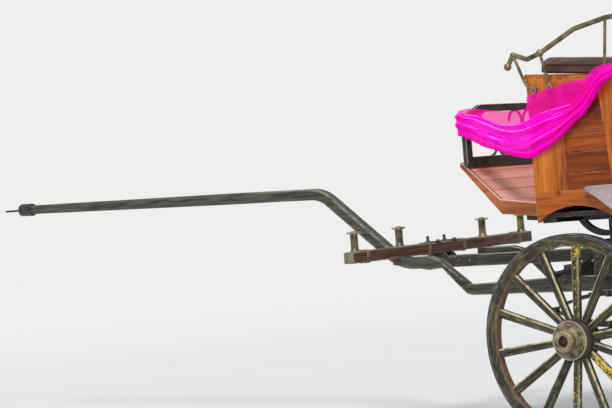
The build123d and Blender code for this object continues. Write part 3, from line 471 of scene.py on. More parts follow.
# columns: look, way of its grain, dark, middle and light tones, shift, pale rim and coat where they differ
VARNISHED = (
    ("pine_across", "Y", PINE_DARK, PINE, PINE_LIGHT, (0.9, 0.2, 1.7)),
    ("cedar_along", "X", CEDAR_DARK, CEDAR, CEDAR_LIGHT, (2.1, 0.4, 0.9), PALE_SEAM),
    ("cedar_across", "Y", CEDAR_DARK, CEDAR, CEDAR_LIGHT, (1.3, 0.1, 2.2), PALE_SEAM),
    ("toe_varnish", "Y", (0.62, 0.24, 0.165), (0.88, 0.42, 0.31), (0.96, 0.62, 0.52),
     (0.7, 1.9, 0.2), (0.95, 0.68, 0.56), 0.45),
    ("toe_rail", "X", (0.20, 0.050, 0.012), (0.46, 0.135, 0.035), (0.66, 0.235, 0.08),
     (1.7, 0.9, 1.2), (0.90, 0.62, 0.48), 0.35),
    ("toe_edge", "X", (0.72, 0.44, 0.33), (0.90, 0.62, 0.50), (0.98, 0.76, 0.66),
     (0.2, 0.9, 2.2), (0.98, 0.80, 0.70), 0.3),
)

# columns: look, way of its grain, dark and light tones, pale rim, then roughness, grime and rim width
PAINTED_TIMBER = (
    # The dark timber's wide cream rim is partly worn paint and partly a painted highlight on the arrises.
    ("dark_timber", "X", GREEN_BLACK, GREEN_GREY, (0.86, 0.78, 0.56), 0.55, (0.12, 0.105, 0.075), 0.009),
    ("dark_timber_across", "Y", GREEN_BLACK, GREEN_GREY, (0.42, 0.34, 0.20)),
    ("bar_timber", "Y", (0.034, 0.014, 0.008), (0.165, 0.072, 0.042), (0.46, 0.38, 0.26), 0.6),
)

# columns: look, dark and light tones, pale rim, then roughness, metal, wear, scale and rim width
PAINTED_IRON = (
    ("black_iron", BLACK, BLACK_DUSTY, BONE),
    # The next row's pale lines are partly lining and partly painted highlights on the dash's arrises and
    # the flanges' rims.
    ("lining", (0.50, 0.44, 0.30), (0.72, 0.65, 0.47), (0.80, 0.74, 0.58)),
    # The rails' and roller bolts' pale rubbed edges and light tone are partly wear and partly painted
    # highlights.
    ("worn_iron", (0.052, 0.042, 0.022), (0.35, 0.275, 0.135), (0.82, 0.72, 0.47),
     0.35, 0.3, (0.30, 0.46), 1.3, 0.005),
    ("brass", (0.28, 0.17, 0.035), (0.56, 0.37, 0.10), (0.80, 0.62, 0.26), 0.32, 0.9, (0.38, 0.56), 1.3),
    # The splinter bar's end plates: the pale rim is partly worn paint and partly a painted highlight.
    ("end_plate", (0.10, 0.088, 0.045), (0.30, 0.26, 0.15), (0.60, 0.52, 0.32),
     0.5, 0.2, (0.36, 0.52), 2.0),
    ("bolt_iron", (0.05, 0.045, 0.035), (0.26, 0.22, 0.15), (0.62, 0.55, 0.40),
     0.4, 0.5, (0.35, 0.5), 3.0, 0.002),
    ("rusty_iron", (0.050, 0.026, 0.012), (0.21, 0.115, 0.040), (0.50, 0.36, 0.12),
     0.7, 0.1, (0.35, 0.5), 3.0, 0.002),
    # The axle nut is very dark: old iron, darkened further as painted shade in the hub's mouth.
    ("old_nut", (0.010, 0.007, 0.005), (0.060, 0.038, 0.022), (0.34, 0.24, 0.14),
     0.6, 0.1, (0.42, 0.58), 2.0, 0.002),
)

LOOKS = {
    "pine_upright": varnished_wood("pine_upright", "Z", PINE_DARK, PINE, PINE_LIGHT,
                                   rail_along="X", rail_top=FRAME_RAIL_TOP),
    "hub_iron": hub_iron("hub_iron"),
    "leather": leather("leather", (0.050, 0.021, 0.011), (0.125, 0.052, 0.026)),
    "piping": leather("piping", (0.030, 0.013, 0.008), (0.070, 0.030, 0.016), 2.0),
    "wing_paint": wing_paint("wing_paint"),
    "tulle": tulle("tulle", 0.985),
    "tulle_thin": tulle("tulle_thin", 0.80, (0.66, 0.0, 0.20), (0.90, 0.0, 0.40)),
}
for make_look, rows in ((varnished_wood, VARNISHED), (painted_timber, PAINTED_TIMBER),
                        (painted_iron, PAINTED_IRON)):
    LOOKS.update({row[0]: make_look(*row) for row in rows})
for end, radius, x, felloes in (("front", FRONT_RADIUS, 0.0, 7), ("rear", REAR_RADIUS, -WHEELBASE, 8)):
    LOOKS[end + "_spokes"] = wheel_wood(end + "_spoke_wood", radius, x, "spokes", 0, SPOKE_PAINT[end])
    LOOKS[end + "_felloe"] = wheel_wood(end + "_felloe_wood", radius, x, "felloe", felloes)
    LOOKS[end + "_tyre"] = tyre_iron(end + "_tyre_iron", radius, x)

# columns: look, CAD nodes that wear it
NODE_LOOKS = (
    ("pine_upright", ("front_side_frames", "rear_side_frames", "left_door", "right_door")),
    ("pine_across", ("driver_seat_board", "passenger_seat_boards", "passenger_well", "driver_box")),
    ("cedar_along", ("side_planks",)),
    ("cedar_across", ("rear_panel",)),
    ("toe_varnish", ("toe_board",)),
    ("toe_rail", ("toe_rails",)),
    ("dark_timber", ("hounds", "centre_beam", "pole")),
    ("dark_timber_across", ("bolster",)),
    ("bar_timber", ("splinter_bar",)),
    ("black_iron", ("front_axle", "rear_axle", "front_springs", "rear_springs", "turntable_lower_ring",
                    "turntable_upper_ring", "pole_straps", "pole_head", "side_steps", "door_hinge_pins",
                    "chassis_beams", "dash", "turntable_stays")),
    ("worn_iron", ("roller_bolts", "hand_rails")),
    ("wing_paint", ("front_wings", "rear_wings")),
)


def dress_nodes():
    """Each CAD node gets its finish."""
    wear = {node: LOOKS[look] for look, nodes in NODE_LOOKS for node in nodes}
    for end in ("front", "rear"):
        for side in ("left", "right"):
            wheel = f"{end}_{side}_wheel"
            wear[wheel + "_tyre"] = LOOKS[end + "_tyre"]
            wear[wheel + "_spokes"] = LOOKS[end + "_spokes"]
            wear[wheel + "_felloe"] = LOOKS[end + "_felloe"]
            wear[wheel + "_hub"] = LOOKS["hub_iron"]
    for node, material in wear.items():
        slots = frame["nodes"][node].data.materials
        slots.clear()
        slots.append(material)


# Mesh tools
def make_piece(name, mesh, look, body, smooth=True):
    """A finished mesh as a piece that rides on a body."""
    for polygon in mesh.polygons:
        polygon.use_smooth = smooth
    mesh.materials.clear()
    mesh.materials.append(LOOKS[look])
    piece = put_in_scene(name, mesh)
    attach(piece, body)
    return piece


def mesh_of(name, vertices, faces):
    mesh = bpy.data.meshes.new(name)
    mesh.from_pydata([tuple(v) for v in vertices], [], faces)
    mesh.update()
    return mesh


def lathe(profile, sides, place, direction, first=0):
    """Vertices and faces of a turned solid: profile is (radius, height) from its seat to its top."""
    turn = direction.to_track_quat("Z", "Y").to_matrix()
    vertices = []
    faces = []
    for radius, height in profile:
        for k in range(sides):
            angle = 2 * math.pi * k / sides
            spot = Vector((radius * math.cos(angle), radius * math.sin(angle), height))
            vertices.append(place + turn @ spot)
    for ring in range(len(profile) - 1):
        for k in range(sides):
            a = first + ring * sides + k
            b = first + ring * sides + (k + 1) % sides
            faces.append((a, b, b + sides, a + sides))
    faces.append(tuple(first + k for k in reversed(range(sides))))
    top = first + (len(profile) - 1) * sides
    faces.append(tuple(top + k for k in range(sides)))
    return vertices, faces


def turned_set(name, places, profile, sides, look, body, smooth=True):
    """Many copies of one turned solid in one mesh. places are (place, direction)."""
    vertices = []
    faces = []
    for place, direction in places:
        more, more_faces = lathe(profile, sides, place, direction.normalized(), len(vertices))
        vertices += more
        faces += more_faces
    return make_piece(name, mesh_of(name, vertices, faces), look, body, smooth)


def dome(radius, height, steps=3):
    """Profile of a domed bolt head, from its edge to near its crown."""
    rise = [(radius, 0.0), (radius, height * 0.25)]
    for k in range(1, steps + 1):
        angle = math.pi / 2 * k / (steps + 0.4)
        rise.append((radius * math.cos(angle), height * (0.25 + 0.75 * math.sin(angle))))
    return rise


def smooth_route(points, steps, closed=False):
    """A Catmull-Rom curve through points."""
    count = len(points)
    spans = count if closed else count - 1
    route = []
    for k in range(spans):
        if closed:
            a, b, c, d = (points[(k + j) % count] for j in (-1, 0, 1, 2))
        else:
            a, b, c, d = (points[min(max(k + j, 0), count - 1)] for j in (-1, 0, 1, 2))
        for j in range(steps):
            t = j / steps
            route.append(0.5 * (2 * b + (c - a) * t + (2 * a - 5 * b + 4 * c - d) * t * t
                                + (3 * b - a - 3 * c + d) * t ** 3))
    if not closed:
        route.append(points[-1].copy())
    return route


def tube_mesh(name, route, radius, sides=10, closed=False, flat=1.0):
    """A round tube along a route. flat under 1 squeezes it along its second axis."""
    count = len(route)
    vertices = []
    faces = []
    previous = None
    for k, place in enumerate(route):
        ahead = route[(k + 1) % count] if closed or k < count - 1 else place
        behind = route[k - 1] if closed or k > 0 else place
        along = (ahead - behind).normalized()
        if previous is None:
            side = along.cross(UP)
            if side.length < 0.1:
                side = along.cross(FORWARD)
            side.normalize()
        else:
            side = (previous - along * previous.dot(along)).normalized()
        previous = side
        other = along.cross(side)
        size = radius[k] if isinstance(radius, list) else radius
        for j in range(sides):
            angle = 2 * math.pi * j / sides
            vertices.append(place + side * size * math.cos(angle) + other * size * flat * math.sin(angle))
    for k in range(count if closed else count - 1):
        for j in range(sides):
            a = k * sides + j
            b = k * sides + (j + 1) % sides
            c = (k + 1) % count * sides + (j + 1) % sides
            d = (k + 1) % count * sides + j
            faces.append((a, b, c, d))
    if not closed:
        faces.append(tuple(range(sides - 1, -1, -1)))
        faces.append(tuple((count - 1) * sides + j for j in range(sides)))
    return mesh_of(name, vertices, faces)


def joined_mesh(name, meshes):
    """Several meshes as one."""
    vertices = []
    faces = []
    for mesh in meshes:
        start = len(vertices)
        vertices += [v.co.copy() for v in mesh.vertices]
        faces += [tuple(start + k for k in p.vertices) for p in mesh.polygons]
        bpy.data.meshes.remove(mesh)
    return mesh_of(name, vertices, faces)


# Soft pieces
PRESSURE = 4.0
CLOTH_FRAMES = 20
PAD_VOXEL = 0.0075
PAD_CORNER = 0.028
PAD_SWELL = 0.018
PAD_INSET = 0.012
PAD_BACK = 0.004
PAD_CLEAR = 0.0012
TUFT_DEPTH = 0.016
TUFT_SPREAD = 0.075
TUFT_HELD = 0.014
WELT_DEPTH = 0.030
WELT_CORNER = 0.045
WELT_PLACES = 160


def run_cloth(piece, cap, held):
    """Blow a closed mesh up a little with the cloth simulation and keep the result."""
    start, _ = read_mesh(piece)
    group = piece.vertex_groups.new(name="held")
    group.add(held, 1.0, "REPLACE")
    cloth = piece.modifiers.new("cloth", "CLOTH")
    cloth.settings.quality = 4
    cloth.settings.use_pressure = True
    cloth.settings.uniform_pressure_force = PRESSURE
    cloth.settings.effector_weights.gravity = 0
    cloth.settings.tension_stiffness = 20
    cloth.settings.bending_stiffness = 1
    cloth.settings.vertex_group_mass = "held"
    cloth.collision_settings.use_collision = False
    scene = bpy.context.scene
    for number in range(1, CLOTH_FRAMES + 1):
        scene.frame_set(number)
    shown = piece.evaluated_get(bpy.context.evaluated_depsgraph_get())
    moved, _ = read_mesh(shown)
    piece.modifiers.clear()
    piece.vertex_groups.clear()
    step = moved - start
    length = np.maximum(np.linalg.norm(step, axis=1), 1e-9)
    write_mesh(piece, start + step * np.minimum(1, cap / length)[:, None])
    scene.frame_set(1)


def applied(piece):
    """Apply all modifiers of a piece."""
    depsgraph = bpy.context.evaluated_depsgraph_get()
    mesh = bpy.data.meshes.new_from_object(piece.evaluated_get(depsgraph))
    piece.modifiers.clear()
    old = piece.data
    piece.data = mesh
    bpy.data.meshes.remove(old)


def rounded_block(name, low, high, corner, slope=0.0):
    """A block with rounded corners between two points. slope lifts it along X."""
    work = bmesh.new()
    bmesh.ops.create_cube(work, size=1)
    size = high - low
    middle = (high + low) / 2
    for vertex in work.verts:
        vertex.co = Vector((vertex.co.x * size.x, vertex.co.y * size.y, vertex.co.z * size.z)) + middle
    bmesh.ops.bevel(work, geom=list(work.edges), offset=corner, segments=4, profile=0.6, affect="EDGES")
    for vertex in work.verts:
        vertex.co.z += slope * (vertex.co.x - middle.x)
    mesh = bpy.data.meshes.new(name)
    work.to_mesh(mesh)
    work.free()
    return mesh


def pad(name, node, tufts, normal, slope):
    """A stuffed leather pad in the room of a CAD node, pulled in at its tufts.

    tufts are rows and columns on the face that looks along normal.
    """
    low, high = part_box(node)
    slope_drop = abs(slope) * (high.x - low.x) / 2
    room_low = low + Vector((PAD_INSET, PAD_INSET, PAD_BACK + slope_drop))
    room_high = high - Vector((PAD_INSET, PAD_INSET, PAD_INSET + slope_drop))
    if abs(normal.x) > 0.5:
        room_low = low + Vector((PAD_BACK, PAD_INSET, PAD_INSET))
        room_high = high - Vector((PAD_BACK, PAD_INSET, PAD_INSET))
        if normal.x > 0:
            room_high.x -= PAD_SWELL
        else:
            room_low.x += PAD_SWELL
    mesh = rounded_block(name, room_low, room_high, PAD_CORNER, slope)
    piece = make_piece(name, mesh, "leather", "body")
    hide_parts(node)
    remesh = piece.modifiers.new("remesh", "REMESH")
    remesh.mode = "VOXEL"
    remesh.voxel_size = PAD_VOXEL
    applied(piece)
    piece.data.materials.clear()
    piece.data.materials.append(LOOKS["leather"])
    places = tuft_places(room_low, room_high, tufts, normal, slope)
    pull_tufts(piece, places, normal)
    spots, normals = read_mesh(piece)
    reach = np.min([np.linalg.norm(spots - np.array(place), axis=1) for place in places], axis=0)
    facing = normals @ np.array(normal)
    held = np.nonzero((reach < TUFT_HELD) | (facing < -0.8))[0]
    run_cloth(piece, PAD_SWELL * 0.9, held.tolist())
    cap_pad(piece, low, high)
    subdivide = piece.modifiers.new("subdivide", "SUBSURF")
    subdivide.levels = 1
    subdivide.render_levels = 1
    applied(piece)
    piece.data.polygons.foreach_set("use_smooth", [True] * len(piece.data.polygons))
    return piece, places


def tuft_places(low, high, tufts, normal, slope):
    """Button places in offset rows on a pad's face."""
    rows, columns = tufts
    middle = (low + high) / 2
    places = []
    for row in range(rows):
        shift = 0.5 * (row % 2)
        for column in range(columns - (row % 2)):
            across = (column + 0.5 + shift) / columns
            along = (row + 0.5) / rows
            y = low.y + (high.y - low.y) * across
            if abs(normal.x) > 0.5:
                face = high.x if normal.x > 0 else low.x
                places.append(Vector((face, y, low.z + (high.z - low.z) * along)))
            else:
                x = low.x + (high.x - low.x) * along
                places.append(Vector((x, y, high.z + slope * (x - middle.x))))
    return places


def read_mesh(piece):
    """The places and normals of a mesh's vertices as arrays."""
    count = len(piece.data.vertices)
    spots = np.empty(count * 3, np.float32)
    normals = np.empty(count * 3, np.float32)
    piece.data.vertices.foreach_get("co", spots)
    piece.data.vertices.foreach_get("normal", normals)
    return spots.reshape(-1, 3), normals.reshape(-1, 3)


def write_mesh(piece, spots):
    piece.data.vertices.foreach_set("co", np.ascontiguousarray(spots, np.float32).ravel())
    piece.data.update()


def pull_tufts(piece, places, normal):
    """Dimple the face round each button."""
    spots, normals = read_mesh(piece)
    way = np.array(normal)
    facing = normals @ way > 0.3
    for place in places:
        reach = spots - np.array(place)
        reach -= np.outer(reach @ way, way)
        near = np.linalg.norm(reach, axis=1) / TUFT_SPREAD
        fall = np.where(facing & (near < 1), (1 - near) ** 2, 0)
        spots -= np.outer(fall, way) * TUFT_DEPTH
    write_mesh(piece, spots)


def cap_pad(piece, low, high):
    """Keep the pad inside its CAD solid's box."""
    spots, _ = read_mesh(piece)
    write_mesh(piece, np.clip(spots, np.array(low) + PAD_CLEAR, np.array(high) - PAD_CLEAR))


def pad_buttons(name, piece, places, normal):
    """Leather buttons seated in the dimples of a pad."""
    tree = BVHTree.FromObject(piece, bpy.context.evaluated_depsgraph_get())
    seats = []
    for place in places:
        hit, face_normal, _, _ = tree.ray_cast(place + normal * 0.1, -normal)
        if hit:
            seats.append((hit - normal * 0.002, normal))
    return turned_set(name, seats, dome(0.0095, 0.007), 14, "piping", "body")


def pad_piping(name, piece, normal, slope):
    """A welt sewn round a pad, a set depth under its face, found by looking inwards at the pad's sides."""
    tree = BVHTree.FromObject(piece, bpy.context.evaluated_depsgraph_get())
    spots, _ = read_mesh(piece)
    low = Vector(spots.min(axis=0).tolist())
    high = Vector(spots.max(axis=0).tolist())
    middle = (low + high) / 2
    flat = abs(normal.z) > 0.5
    first = FORWARD if flat else UP
    half_first = abs((high - low).dot(first)) / 2
    half_second = (high.y - low.y) / 2
    level = abs((high - low).dot(normal)) / 2 - WELT_DEPTH - abs(slope) * half_first
    route = []
    for k in range(WELT_PLACES):
        turn = 2 * math.pi * (k + 0.5) / WELT_PLACES
        ray = Vector((math.cos(turn) * half_second, math.sin(turn) * half_first))
        grow = min(half_first / max(abs(ray.y), 1e-9), half_second / max(abs(ray.x), 1e-9))
        edge = ray * grow
        core = Vector((max(WELT_CORNER - half_second, min(half_second - WELT_CORNER, edge.x)),
                       max(WELT_CORNER - half_first, min(half_first - WELT_CORNER, edge.y))))
        way = (edge - core).normalized()
        lift = slope * core.y if flat else 0.0
        centre = middle + OUT * core.x + first * core.y + normal * (level + lift)
        outward = OUT * way.x + first * way.y
        hit, _, _, _ = tree.ray_cast(centre + outward * 0.2, -outward)
        if hit:
            route.append(hit + outward * 0.001)
    welt = tube_mesh(name, route, 0.0042, 8, True)
    return make_piece(name, welt, "piping", "body")


# Cloth swag
# columns: x, height
VEIL_TOP = ((0.658, 1.558), (0.623, 1.561), (0.588, 1.557), (0.497, 1.543), (0.427, 1.531),
            (0.356, 1.528), (0.294, 1.531), (0.287, 1.585), (0.231, 1.597), (0.169, 1.613),
            (0.125, 1.619), (0.086, 1.630), (0.042, 1.634), (-0.025, 1.634), (-0.063, 1.661),
            (-0.097, 1.683), (-0.150, 1.692), (-0.230, 1.694), (-0.318, 1.700))
SWAG_TOP = ((0.656, 1.548), (0.640, 1.537), (0.576, 1.525), (0.521, 1.503), (0.438, 1.472),
            (0.348, 1.466), (0.279, 1.483), (0.199, 1.508), (0.110, 1.523), (0.044, 1.532),
            (0.004, 1.550), (-0.043, 1.591), (-0.085, 1.641), (-0.150, 1.678), (-0.230, 1.690),
            (-0.318, 1.697))
SWAG_BOTTOM = ((0.664, 1.432), (0.606, 1.402), (0.551, 1.374), (0.493, 1.355), (0.424, 1.329),
               (0.341, 1.309), (0.286, 1.302), (0.200, 1.333), (0.130, 1.373), (0.083, 1.404),
               (0.025, 1.451), (-0.018, 1.475), (-0.074, 1.529), (-0.110, 1.571), (-0.151, 1.610),
               (-0.200, 1.636), (-0.250, 1.652), (-0.318, 1.664))
CLOTH_COLUMNS = 170
WRAP_COLUMNS = 14
CLOTH_BACK = 0.508
POST_COVER = 0.016
SWAG_DEPTH = 0.030
GATHER = 0.16
DASH_FRONT = 0.681
DASH_BACK = 0.659
RAIL_FEET = ((0.154, 1.614), (0.243, 1.604))

# columns: share of the way down at the dash, in the middle and at the seat, height, width above, below
FOLDS = (
    (0.05, 0.04, 0.03, 0.20, 0.03, 0.07),
    (0.14, 0.31, 0.60, 0.62, 0.020, 0.11),
    (0.30, 0.54, 0.74, 0.20, 0.06, 0.10),
    (0.48, 0.72, 0.82, 0.55, 0.09, 0.13),
    (0.74, 0.93, 0.94, 0.22, 0.06, 0.06),
)


def even_route(points, count, steps):
    """Places at even steps along a line through points (x, height), curved where steps is over 1."""
    route = smooth_route([at(x, 0, z) for x, z in points], steps)
    reach = [0.0]
    for near, far in zip(route, route[1:]):
        reach.append(reach[-1] + (far - near).length)
    places = []
    k = 0
    for number in range(count):
        goal = reach[-1] * number / (count - 1)
        while k < len(route) - 2 and reach[k + 1] < goal:
            k += 1
        share = (goal - reach[k]) / max(reach[k + 1] - reach[k], 1e-9)
        places.append(route[k].lerp(route[k + 1], share))
    return places


def fold_height(u, v):
    """How far the gathered cloth stands out: crests that sweep along it, steep above and soft below."""
    height = 0.0
    for start, middle, end, tall, above, below in FOLDS:
        crest = start * (1 - u) * (1 - 2 * u) + middle * 4 * u * (1 - u) + end * u * (2 * u - 1)
        away = (v - crest) / (below if v > crest else above)
        height += tall * math.exp(-away * away)
    tight = max(0.0, 1 - u / GATHER) + max(0.0, 1 - (1 - u) / GATHER)
    ripple = math.sin(math.pi * (2.4 * v + 0.25 + 0.3 * math.sin(7 * u)))
    crumple = 0.30 * noise.noise(Vector((8 * u + 3 * v, 9 * v, 0)))
    crumple += 0.09 * noise.noise(Vector((30 * u, 42 * v, 4)))
    return height + 0.35 * tight * ripple * ripple + 0.6 * math.sin(math.pi * v) ** 0.5 + crumple


def cloth_depth(spot):
    """How far out the cloth's back lies, so that it clears the rail's feet and rear posts."""
    x = spot.x - AXLE_X
    out = CLOTH_BACK + POST_COVER * min(1, max(0, (-0.05 - x) / 0.08))
    for foot_x, foot_z in RAIL_FEET:
        near = math.hypot(x - foot_x, spot.z - foot_z) / 0.032
        out = max(out, CLOTH_BACK + POST_COVER * math.exp(-near * near))
    return out


def round_the_post(spot, share):
    """Carries a place at the cloth's front end round the dash's post and inwards."""
    start_x = spot.x - AXLE_X
    turn = min(1.0, share / 0.35)
    bulge = spot.y - CLOTH_BACK
    front = DASH_FRONT + 0.006 + 0.25 * bulge
    x = start_x + (front - start_x) * math.sin(turn * math.pi / 2)
    y = spot.y - 0.006 * turn - 0.085 * max(0.0, share - 0.30)
    z = spot.z + (1.485 - spot.z) * 0.22 * share
    return at(x, y, z)


def cloth_layer(name, top, bottom, rows, look, depth):
    """One layer between two edges. depth gives how far a place stands out, from u, v and the place."""
    vertices = []
    for column in range(-WRAP_COLUMNS, CLOTH_COLUMNS):
        index = max(column, 0)
        u = index / (CLOTH_COLUMNS - 1)
        for row in range(rows + 1):
            v = row / rows
            spot = top[index].lerp(bottom[index], v)
            spot.y = depth(u, v, spot)
            if column < 0:
                spot = round_the_post(spot, -column / WRAP_COLUMNS)
            vertices.append(spot)
    count = rows + 1
    faces = []
    for column in range(CLOTH_COLUMNS + WRAP_COLUMNS - 1):
        for row in range(rows):
            a = column * count + row
            faces.append((a, a + 1, a + count + 1, a + count))
    return make_piece(name, mesh_of(name, vertices, faces), look, "body")


def hang_cloth():
    """The dense gathered swag over a sheer layer that rises to the seat and ends at the rear post."""
    swag_top = even_route(SWAG_TOP, CLOTH_COLUMNS, 8)
    swag_bottom = even_route(SWAG_BOTTOM, CLOTH_COLUMNS, 8)
    veil_top = even_route(VEIL_TOP, CLOTH_COLUMNS, 1)
    veil_bottom = [spot + Vector((0, 0, -0.016)) for spot in swag_top]

    def swag_depth(u, v, spot):
        fullness = 0.6 + 0.4 * math.sin(math.pi * u)
        return cloth_depth(spot) + 0.003 + SWAG_DEPTH * fullness * fold_height(u, v)

    def veil_depth(u, v, spot):
        soft = 0.5 + 0.5 * math.sin(9 * u + 5 * v) * math.sin(23 * u + 2.0 * v)
        return cloth_depth(spot) + 0.006 * soft * (1 - v)

    swag = cloth_layer("drape_swag", swag_top, swag_bottom, 110, "tulle", swag_depth)
    veil = cloth_layer("drape_veil", veil_top, veil_bottom, 24, "tulle_thin", veil_depth)
    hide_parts("drape")


# Bolts and trim
HEX = ((0.0105, 0.0), (0.0105, 0.006), (0.0085, 0.0075))
AXLE_NUT = ((0.0235, 0.0), (0.0235, 0.013), (0.020, 0.015), (0.011, 0.015), (0.011, 0.020), (0.008, 0.021))
FLANGE_FACE = TRACK_HALF + 0.0582
FLANGE_EDGE = TRACK_HALF + 0.0565
FLANGE_RADIUS = 0.0872
BOLT_CIRCLE = 0.068
FLANGE_BOLTS = 6
NUT_SEAT = TRACK_HALF + 0.0845


def round_places(x, y, height, reach, count, first=0.0):
    """Places on an upright circle."""
    turns = [math.radians(first) + 2 * math.pi * k / count for k in range(count)]
    return [at(x + reach * math.cos(turn), y, height + reach * math.sin(turn)) for turn in turns]


def hub_details(wheel, x, side, radius, spokes, carrier):
    """Flange bolts and a pale rim line that is a painted highlight, the axle's nut in the hub's mouth, kept
    near black as painted shade, and the tyre bolts' heads.
    """
    out = OUT * side
    circle = round_places(x, side * FLANGE_FACE, radius, BOLT_CIRCLE, FLANGE_BOLTS, 30)
    bolts = [(spot, out) for spot in circle]
    turned_set(wheel + "_flange_bolts", bolts, HEX, 6, "bolt_iron", wheel, False)
    # A pale ring at the flange's edge: a painted highlight on its rim.
    circle = round_places(x, side * FLANGE_EDGE, radius, FLANGE_RADIUS, 64)
    rim = tube_mesh(wheel + "_flange_line", circle, 0.0018, 6, True)
    make_piece(wheel + "_flange_line", rim, "lining", wheel)
    # The axle nut's near-black finish is partly painted shade in the hub's mouth.
    turned_set(wheel + "_axle_nut", [(at(x, side * NUT_SEAT, radius), out)], AXLE_NUT, 6, "old_nut",
               carrier, False)
    middle = at(x, side * TRACK_HALF, radius)
    inner = round_places(x, middle.y, radius, radius - FELLOE_DEPTH, spokes, 180 / spokes)
    heads = [(spot, middle - spot) for spot in inner]
    turned_set(wheel + "_tyre_bolts", heads, dome(0.0075, 0.004, 2), 10, "bolt_iron", wheel)


def dress_wheels():
    for end, x, radius, spokes, carrier in (("front", 0.0, FRONT_RADIUS, 14, "forecarriage"),
                                            ("rear", -WHEELBASE, REAR_RADIUS, 16, "body")):
        for name, side in (("left", 1), ("right", -1)):
            hub_details(f"{end}_{name}_wheel", x, side, radius, spokes, carrier)


def both_sides(places):
    """The places given and the same ones mirrored to the right."""
    return [Vector((p.x, side * p.y, p.z)) for p in places for side in (1, -1)]


def outward_bolts(name, places, profile, sides, look, body):
    """Bolt heads on upright side faces, mirrored to both sides."""
    seats = [(p, OUT if p.y > 0 else -OUT) for p in both_sides([at(*place) for place in places])]
    turned_set(name, seats, profile, sides, look, body)


def plates(name, ranges, corner, look, body):
    """Small rounded plates in one mesh. ranges are pairs of opposite corners."""
    meshes = [rounded_block(f"{name}_{k}", at(*low), at(*high), corner)
              for k, (low, high) in enumerate(ranges)]
    make_piece(name, joined_mesh(name, meshes), look, body, False)


def tubes(name, routes, radius, sides, look, body, closed=False, flat=1.0):
    """Several thin round bars in one mesh."""
    meshes = [tube_mesh(f"{name}_{k}", [at(*place) for place in route], radius, sides, closed, flat)
              for k, route in enumerate(routes)]
    make_piece(name, joined_mesh(name, meshes), look, body)


def bar_trim():
    """The splinter bar's keepers, end plates, clamp plates, posts and nuts, and the rollers' heads."""
    low_x, high_x, low_z, high_z = 1.190, 1.250, 0.868, 0.924
    wrap = 0.0015
    post_x = 1.259
    pair = (0.070, -0.070)
    loops = []
    for y in (0.645, 0.150, -0.150, -0.645):
        loops.append([(low_x - wrap, y, low_z + 0.004), (low_x - wrap, y, high_z - 0.004),
                      (low_x + 0.004, y, high_z + wrap), (high_x - 0.004, y, high_z + wrap),
                      (high_x + wrap, y, high_z - 0.004), (high_x + wrap, y, low_z + 0.004),
                      (high_x - 0.004, y, low_z - wrap), (low_x + 0.004, y, low_z - wrap)])
    tubes("bar_keepers", loops, 0.013, 8, "worn_iron", "forecarriage", True, 0.28)
    ends = []
    for side in (1, -1):
        near, far = sorted((side * 0.7585, side * 0.7635))
        ends.append(((low_x + 0.001, near, low_z + 0.001), (high_x - 0.001, far, high_z - 0.001)))
    plates("bar_end_plates", ends, 0.001, "end_plate", "forecarriage")
    clamps = [((low_x - 0.004, y - 0.020, high_z), (high_x + 0.018, y + 0.020, high_z + 0.006))
              for y in pair]
    plates("bar_clamp_plates", clamps, 0.0015, "black_iron", "forecarriage")
    posts = [[(post_x, y, 0.845), (post_x, y, 0.956)] for y in pair]
    tubes("bar_clamp_posts", posts, 0.008, 12, "black_iron", "forecarriage")
    nuts = [(at(x, y, 0.930), UP) for x in (post_x, low_x + 0.006) for y in pair]
    turned_set("bar_clamp_nuts", nuts, HEX, 6, "bolt_iron", "forecarriage", False)
    tops = [(at(1.220, y, 1.019), UP) for y in (0.710, 0.355, -0.355, -0.710)]
    turned_set("roller_bolt_heads", tops, dome(0.016, 0.006), 16, "worn_iron", "forecarriage")


def carriage_bolts():
    """Bolt heads on the hounds, bolster, straps, springs and rails."""
    rusty = dome(0.0105, 0.006)
    outward_bolts("hound_bolts", [(x, 0.382, z) for x in (0.250, 0.020, -0.255) for z in (0.686, 0.719)]
                  + [(1.080, 0.382, 0.836), (1.220, 0.382, 0.851)],
                  rusty, 12, "rusty_iron", "forecarriage")
    outward_bolts("bolster_bolts", [(x, 0.420, z) for x in (-0.030, 0.030) for z in (0.765, 0.825)],
                  rusty, 12, "rusty_iron", "forecarriage")
    outward_bolts("strap_bolts", [(1.030, 0.039, 0.821), (1.100, 0.039, 0.821)], dome(0.009, 0.006), 12,
                  "bolt_iron", "forecarriage")
    outward_bolts("front_spring_bolts", [(x, 0.3825, 0.582) for x in (-0.330, 0.330)]
                  + [(x, 0.3875, z) for x in (-0.016, 0.016) for z in (0.512, 0.652)],
                  HEX, 6, "bolt_iron", "forecarriage")
    outward_bolts("rear_spring_bolts", [(x - WHEELBASE, 0.4525, 0.731) for x in (-0.430, 0.430)]
                  + [(x - WHEELBASE, 0.4575, z) for x in (-0.016, 0.016) for z in (0.597, 0.865)],
                  HEX, 6, "bolt_iron", "body")
    outward_bolts("rail_foot_bolts", [(x, 0.5175, z) for x, z in ((0.243, 1.613), (0.154, 1.620),
                                                                 (-0.142, 1.630), (-0.280, 1.612))],
                  dome(0.006, 0.003), 10, "bolt_iron", "body")


# columns: x, y, height
DASH_LINES = (
    ((DASH_FRONT, 0.500, 1.318), (DASH_FRONT, 0.500, 1.524)),
    ((DASH_BACK, 0.500, 1.300), (DASH_BACK, 0.500, 1.524)),
    ((DASH_BACK, 0.500, 1.524), (DASH_BACK, 0.360, 1.580), (DASH_BACK, 0, 1.580)),
    ((DASH_BACK, 0.455, 1.490), (DASH_BACK, 0.455, 1.332), (DASH_BACK, 0, 1.332)),
)
FRONT_WING_RIM = ((0.010, 0.522, 1.140), (-0.100, 0.588, 1.101), (-0.210, 0.650, 1.047),
                  (-0.400, 0.740, 1.007), (-0.580, 0.780, 0.937), (-0.700, 0.780, 0.802),
                  (-0.800, 0.780, 0.642), (-0.850, 0.780, 0.517))
